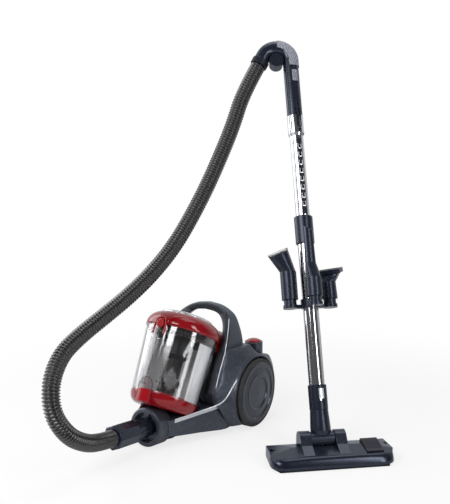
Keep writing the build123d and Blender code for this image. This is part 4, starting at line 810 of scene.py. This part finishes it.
# %% The duct
duct_half, duct_foot, duct_columns = 70, 183.4, 40
crown_falls = [(0, 1.0), (36, 0.966), (50, 0.92), (60, 0.82), (66, 0.70), (70, 0.52)]
lid_depth = round(cos(radians(bin_tilt)), 3)
duct_rows = []
for column in range(duct_columns + 1):
    across = -duct_half + 2 * duct_half * column / duct_columns
    crown = reading(crown_falls, abs(across))
    lip = -105.2 + lid_depth * sqrt(74.0**2 - across**2)
    seat = -124.0 + lid_depth * sqrt(88.0**2 - across**2)
    outline = (
        (seat, duct_foot), (lip, 228), (lip + 4, 233.5), (lip * 0.55 - 12, 235), (-14, 225), (-9, 219),
        (-9, duct_foot),
    )
    lowered = [(y, duct_foot + (z - duct_foot) * crown) for y, z in outline]
    duct_rows.append(row_across(canister, across, lowered))
duct = creased(mesh_of("duct", duct_rows, capped=True), 38)
swap("duct", duct, "dust_bin", red_gloss, "red_gloss", "lid_duct")
print("duct: columns", len(duct_rows))

# %% [markdown]
# ## The casing
# Two cheeks hold the bin. Their front edges run up in an S, and their sides flare out like
# trumpets round the wheels' axis into fenders. Subdivided by hand, that would take many
# patches that have to meet. Here the shell is a row of side outlines, one for each place
# across the machine, drawn in towards the axle where the flare gets narrow.

# %% The casing from the side
axle_up = 82.5
seam_up, saddle_up, shoulder_up = 81, 183, 200
saddle_half, cheek_from, fender_from = 75, 97, 104.5
pocket_radius, foot_steps = 91.0, 7
front_edge = [
    (-127, seam_up), (-131, 108), (-120.5, 128), (-114, 142), (-105, 160), (-91, 183), (-83, shoulder_up),
]
rear_edge = [
    (-2, shoulder_up), (6, 185), (18, 174), (42, 168), (68, 161.5), (86, 151), (97, 136), (104, 112),
    (107, 82),
]
smooth_front, smooth_rear = through(front_edge, 5), through(rear_edge, 5)
front_by_height = [(z, y) for y, z in front_edge]


def pocket_front(side, up):
    """The wall of the dust bin's pocket, but never in front of the cheeks' edge."""
    hollow = sqrt(max(pocket_radius**2 - side**2, 0)) / cos(radians(bin_tilt))
    lean = round(tan(radians(bin_tilt)), 4)
    return max(bin_foot_y + (up - bin_foot_z) * lean + hollow, reading(front_by_height, up))


def fender_foot(side):
    """The front of the fender below the seam, from its lowest point up."""
    if side <= fender_from:
        return [smooth_front[0]] * foot_steps
    far = reading([(97, 127), (106, 118), (131, 90)], side)
    near = reading([(97, 104), (106, 100), (131, 89.5)], side)
    points = []
    for share in [step / foot_steps for step in range(foot_steps)]:
        turn = radians(180 + 44 * (1 - share))
        span = near + (far - near) * share
        points.append((span * cos(turn), axle_up + span * sin(turn)))
    return points


# %% The outline at each place
def casing_outline(across, reach):
    """The outline at one place across, from the front's foot to the rear's, within a reach."""
    side = abs(across)
    head_up = saddle_up if side <= saddle_half else shoulder_up
    if side < cheek_from:
        steps = len(smooth_front) - 1
        heights = [seam_up + (head_up - seam_up) * step / steps for step in range(steps + 1)]
        front = [(pocket_front(side, up), up) for up in heights]
        foot = [front[0]] * foot_steps
    else:
        front, foot = smooth_front, fender_foot(side)
    start = front[-1][0]
    if side <= saddle_half:
        middle = start + (-6 - start) * 0.5
        top = [(middle, head_up), (-6, head_up), (-6, 190), (-6, 198), (-4.5, shoulder_up)]
    else:
        top = [(start + (-2 - start) * step / 6, head_up) for step in range(1, 6)]
    drawn = []
    for y, z in (*foot, *front, *top, *smooth_rear):
        away = hypot(y, z - axle_up)
        share = min(1.0, reach / away) if away else 1.0
        drawn.append((y * share, axle_up + (z - axle_up) * share))
    return drawn


# %% The casing's shell
far_away = 400
flare = [
    (98, 150), (103, 138), (108, 127), (112, 120), (116, 112.5), (120, 105.5), (124.5, 98), (128, 93.4),
    (130, 90.8), (130.6, 89.2),
]
flared_at = (97.01, 98, 100, 103, 106, 109, 112, 115, 118, 121, 124, 126.5, 128.5, 130, 130.6)
stations = [(x, far_away) for x in (0, 15, 30, 45, 58, 68, 74.99, 75.01, 80, 85, 91, 96.99)]
stations += [(x, reading(flare, x)) for x in flared_at]
# The rim turns in round the wheel, runs back to the wall behind it and closes at the axle.
stations += [(130.2, 87.4), (129, 86.6), (107.2, 86.6), (107.2, 12)]
stations = [(-x, reach) for x, reach in reversed(stations[1:])] + stations
casing_rows = [row_across(canister, across, casing_outline(across, reach)) for across, reach in stations]
shell = creased(merged(mesh_of("casing_shell", casing_rows, round_section=False)), 36)
casing = hang("casing_shell", shell, "canister", casing_flakes_and_painted_shade)
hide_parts("casing")
print("casing:", len(casing_rows), "rows of", len(casing_rows[0]))

# %% [markdown]
# ## The carry handle
# The arch rises from both cheeks, thins towards its crown and leans back. A curve with one
# bevel keeps its section, so here a soft rectangle runs between an outer and an inner edge.
# Both feet end inside the casing, and no seam has to be matched.

# %% The arch
outer_edge = [(98, 188), (98, 200), (96, 213), (90, 235), (77, 262), (60, 277), (34, 288.5), (0, 293)]
inner_edge = [(77, 188), (76.5, 200), (75.5, 213), (72, 231), (62, 250), (48, 263), (28, 273), (0, 276.5)]
front_depth = [
    (188, -88), (200, -83), (211, -78), (240, -58), (254, -45), (269, -29), (277, -27), (296, -24),
]
rear_depth = [(188, -2), (240, -2), (272, 0), (296, 0)]
squareness = 0.42


def soft_square(steps):
    """Points round a square with softly rounded corners, as shares from 0 to 1."""
    around = [(cos(turn), sin(turn)) for turn in full_turn(steps)]
    return [[(copysign(abs(v)**squareness, v) + 1) / 2 for v in pair] for pair in around]


arch_rows = []
edges = zip(mirrored(through(outer_edge, 5)), mirrored(through(inner_edge, 5)))
for (outer_x, outer_z), (inner_x, inner_z) in edges:
    section = []
    for over, back in soft_square(28):
        x, z = inner_x + (outer_x - inner_x) * over, inner_z + (outer_z - inner_z) * over
        front_y, rear_y = reading(front_depth, z), reading(rear_depth, z)
        section.append(canister @ Vector((x, front_y + (rear_y - front_y) * back, z)))
    arch_rows.append(section)
arch = mesh_of("arch", arch_rows, capped=True)
swap("arch", arch, "canister", arch_flakes_and_painted_shade, "body_plastic", "carry_handle")
print("carry handle: rows", len(arch_rows))

# %% [markdown]
# ## The bright edges
# A thin bright bead runs up the front edge of each cheek and on along the carry handle. It is
# a painted highlight, where that edge catches the light. A thicker bead is the trim that follows
# the side rail up the fender, since real trims stand out and glint. Each is a fine tube along
# its own smooth line.

# %% Painted highlights on the cheeks, and trim beads on the rails
cheek_highlight_line = [
    (98.5, -127, 88), (98.5, -130.5, 108), (98.2, -114.5, 142), (98, -105.5, 160), (97.6, -91.5, 183),
    (97.4, -83, 201), (96, -78, 213), (90, -61.5, 235), (77.5, -38, 264),
]
rail_line = [
    (54, -222, 64.5), (72, -184, 69.5), (92, -139, 75.5), (100, -131.5, 79), (105.8, -129, 82),
    (111, -123, 85.5), (116.5, -113, 92.5), (121, -102.6, 105.5), (124.5, -91.6, 121), (127.5, -80, 134.5),
]
for side, sign in (("left", -1), ("right", 1)):
    # The cheek bead is a painted highlight; the rail bead is the side trim.
    for name, line, radius in (("cheek_highlight_bead", cheek_highlight_line, 0.0011), ("rail_bead", rail_line, 0.0017)):
        bead_line = [canister @ Vector((sign * x, y, z)) for x, y, z in line]
        strand(f"{name}_{side}", bead_line, radius, "canister", silver)
print("beads: 4")

# %% [markdown]
# ## The comb of the dusting brush
# The brush's oval mouth carries a ring of stiff bristles. Hair curves would do for a soft
# brush, but these few are thick and straight, so tapered spikes make up one mesh.

# %% The bristles
mouth = wand @ Matrix.Translation((-64, 0, 413)) @ tilted(-20, "Y")
bristle_count, taper = 44, {"segments": 6, "radius1": 1.0, "radius2": 0.55}
comb = bmesh.new()
for turn in full_turn(bristle_count):
    foot = Vector((21.6 * cos(turn), 15.8 * sin(turn), -3))
    end = Vector((24.4 * cos(turn), 18.4 * sin(turn), 7.5))
    spike = bmesh.ops.create_cone(comb, cap_ends=True, depth=(end - foot).length, **taper)
    aim = (end - foot).to_track_quat("Z", "Y").to_matrix().to_4x4()
    place = mouth @ Matrix.Translation((foot + end) / 2) @ aim
    bmesh.ops.transform(comb, matrix=place, verts=spike["verts"])
comb_mesh = bpy.data.meshes.new("brush_comb")
comb.to_mesh(comb_mesh)
comb.free()
comb_mesh.shade_smooth()
hang("brush_comb", comb_mesh, "brush_tool", bristle)
print("bristles:", bristle_count)

# %% [markdown]
# ## The floor head's rolled front
# The head's front edge is one thick glossy roll that turns down to the floor and round both
# corners. A bevel can't turn two ways at once, so one profile is repeated across the head,
# drawn back and down towards the ends.

# %% The rolled front
roll_face = [
    (-32, 27.6), (-35.6, 26.2), (-39.4, 23.0), (-42.6, 18.6), (-44.9, 13.6), (-46, 8.6), (-45.2, 5.2),
    (-43, 4.2),
]
roll_profile = through(roll_face, 4) + [(-34.4, 4.2), (-34.4, 18), (-33.6, 24.4)]
roll_half, roll_steps, fall_from = 134.9, 40, 55
corner_from, corner_width, corner_depth, corner_power = 95, 40, 30, 2.6
roll_rows = []
for step in range(-roll_steps, roll_steps + 1):
    across = copysign(roll_half * abs(step / roll_steps)**0.72, step)
    share = max(0.0, (abs(across) - corner_from) / corner_width)
    back = corner_depth * (1 - (1 - share**corner_power)**(1 / corner_power))
    fall = max(0.0, abs(across) - fall_from) * 0.03
    drawn = [(y + back, z - fall * z / 27) for y, z in roll_profile]
    roll_rows.append(row_across(head, across, drawn))
front = mesh_of("head_roll", roll_rows, capped=True)
swap("head_roll", front, "floor_head", gloss_black, "black_gloss", "head_bumper")
print("rolled front: rows", len(roll_rows))

# %% [markdown]
# ## The wand's rack
# The upper tube slides in the lower one and stops at one of eight square notches, each with
# a bright pressed rim. A bump would show no edge, so each rim is a flat frame bent to the
# tube, thin enough to slide inside the other.

# %% Rims of the notches
notch_turn, notch_first, notch_pitch, notch_count = radians(-85), 530, 20, 8
rim_radius, rim_foot = 16.3, 15.8
rim_section = ((4.6, 6.4, rim_foot), (4.6, 6.4, rim_radius), (2.9, 4.2, rim_radius), (2.9, 4.2, rim_foot))
for number in range(notch_count):
    along = notch_first + notch_pitch * number
    rim_rows = []
    for over, up in ((-1, -1), (1, -1), (1, 1), (-1, 1), (-1, -1)):
        corner = [(radius, over * x / rim_radius, up * z) for x, z, radius in rim_section]
        rim_rows.append([polar(wand, radius, notch_turn + turn, along + z) for radius, turn, z in corner])
    rim = creased(merged(mesh_of("notch_rim", rim_rows), close=True), 30)
    hang(f"notch_rim_{number + 1}", rim, "upper_wand", silver)
print("notch rims:", notch_count)

# %% [markdown]
# ## The hose
# The hose is a plastic spiral with ribs about six millimetres apart. It leaves the handle's
# swivel, sweeps down in front of the bin, turns round close to the floor and goes into the
# canister's inlet. A true spiral would cost many more faces, so the line is one smooth
# spline, and the ribs are rings set along it.

# %% The route of the hose
bend_angle, bend_radius, swivel_reach, inlet_reach = radians(149), 34, 30.3, 150.9
leg_way = Vector((sin(bend_angle), 0, cos(bend_angle)))
leg_start = Vector((bend_radius * (1 - cos(bend_angle)), 0, bend_radius * sin(bend_angle)))
hose_start = handle @ (leg_start + leg_way * swivel_reach)
hose_lead = hose_start + (handle.to_3x3() @ leg_way).normalized() * 0.080
hose_end = inlet @ Vector((0, 0, inlet_reach))
hose_route = [
    (51, 19, 722), (43, -23, 649), (36, -69, 579), (28, -119, 513), (21, -174, 452), (9, -235, 399),
    (-5, -301, 355), (-20, -367, 319), (-31, -428, 289), (-33, -483, 260), (-20, -526, 214),
    (-4, -538, 158), (8, -512, 110), (5, -468, 80), (0, -420, 61.2),
]
hose_points = [hose_start, hose_lead, *[canister @ Vector(point) for point in hose_route], hose_end]
hose_line = smooth_line("hose_line", hose_points)

# %% [markdown]
# ## The ribs of the hose
# Six rings make one rib: a steep rise, a round top and a groove. They stand at even
# distances, or ribs would be wider where the spline runs fast. A bump map would be lighter,
# but real rings also show along the hose's outline.

# %% The ribs
def even_steps(line, step):
    """Points at even distances along a line."""
    total = sum((b - a).length for a, b in zip(line, line[1:]))
    count = max(2, round(total / step))
    spaced, walked, wanted = [], 0.0, 0.0
    for a, b in zip(line, line[1:]):
        length = (b - a).length
        while wanted <= walked + length + 1e-9 and len(spaced) <= count:
            spaced.append(a.lerp(b, (wanted - walked) / length))
            wanted += total / count
        walked += length
    return spaced


def rib_radius(index):
    """The hose's radius at one ring."""
    return hose_radius - rib_depth * (1 - rib_shape[index % rib_steps])


hose_radius, rib_depth, rib_pitch, rib_steps = 0.0188, 0.0032, 0.0066, 6
rib_shape = [0.0, 0.55, 0.95, 1.0, 0.80, 0.1]
hose_rings = rings_along(even_steps(hose_line, rib_pitch / rib_steps), rib_radius)
hose_mesh = mesh_of("hose_ribbed", hose_rings, capped=True)
hose = hang("hose_ribbed", hose_mesh, "canister", hose_black)
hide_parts("hose")
print("hose rings:", len(hose_rings))

# %% [markdown]
# ## The studio
# The machine stands on white. A floor bent up behind would still show its shade, so this one
# is flat, glows white to the camera and keeps a soft shadow near the machine. The world is
# white to the camera too, but surfaces mirror it dark, except behind on the left, where a
# white wall gives the gloss its long bright edges.

# %% The floor
def lighting_rays(wiring):
    """The rays to which the background shows as plain white."""
    kinds = ["Is Camera Ray", "Is Transmission Ray"]
    paths = [wiring.node("LightPath", {}, {}, kind) for kind in kinds]
    return paths[0] + paths[1]


ground = Finish("floor_white")
spot = {0: ground.place()}
distance = ground.node("VectorMath", {"operation": "LENGTH"}, spot, "Value")
glowing = lighting_rays(ground) * (ground.clamped(distance, 0.45, 1.3) * 0.24 + 0.76)
glow = ground.node("Emission", {}, {"Strength": 1.0})
lit = ground.node("BsdfDiffuse", {}, {"Color": (0.88, 0.88, 0.88)})
both = ground.node("MixShader", {}, {0: glowing, 1: lit, 2: glow})
ground.feed(ground.tree.nodes["Material Output"].inputs["Surface"], both)

floor_mesh = bpy.data.meshes.new("floor")
floor_mesh.from_pydata([(-6, -6, 0), (6, -6, 0), (6, 6, 0), (-6, 6, 0)], [], [(0, 1, 2, 3)])
floor_mesh.materials.append(ground.material)
floor = added("floor", floor_mesh)
print("floor:", len(floor_mesh.polygons), "face")

# %% The world
world = bpy.data.worlds.new("studio")
world.use_nodes = True
bpy.context.scene.world = world
studio = Wiring(world.node_tree)
to_white_wall = (-0.62, 0.78, 0.1)
aims = {0: studio.node("TexCoord", {}, {}, "Generated"), 1: to_white_wall}
behind = studio.node("VectorMath", {"operation": "DOT_PRODUCT"}, aims, "Value")
glossy_ray = studio.node("LightPath", {}, {}, "Is Glossy Ray")
wall_glow = glossy_ray * (studio.clamped(behind, -0.25, 0.45) * 0.75 - 0.12)
glows = {0: lighting_rays(studio) + wall_glow + 0.24, 1: 1.0}
strength = studio.node("Math", {"operation": "MINIMUM"}, glows)
background = studio.tree.nodes["Background"]
studio.feed(background.inputs["Strength"], strength)
studio.feed(background.inputs["Color"], (1, 1, 1))
print("world nodes:", len(studio.tree.nodes))

# %% [markdown]
# ## The lamps
# Four soft lamps shape the machine: the key from the front, a wide one on the left that the
# chromed tubes mirror as a streak, a narrow strip on the right, and one above. Large areas
# give the soft shadows and long highlights that small spots wouldn't.

# %% Lamps
def area_light(name, place, target, size, power):
    """A rectangular lamp at a place, turned to a target, of so many metres and watts."""
    data = bpy.data.lights.new(name, "AREA")
    data.shape = "RECTANGLE"
    data.size, data.size_y = size
    data.energy = power
    lamp = added(name, data)
    lamp.location = place
    lamp.rotation_euler = (Vector(target) - Vector(place)).to_track_quat("-Z", "Y").to_euler()


area_light("key", (-0.30, -1.95, 1.75), (-0.1, 0, 0.3), (1.5, 0.9), 34)
area_light("left", (-2.3, -0.5, 1.15), (-0.1, 0, 0.3), (2.2, 1.9), 30)
area_light("strip", (2.10, -0.55, 1.05), (0, 0, 0.3), (0.45, 1.8), 20)
area_light("top", (0.1, 0.5, 2.6), (0, 0, 0.3), (1.8, 1.4), 14)
print("lights:", len(bpy.data.lights))
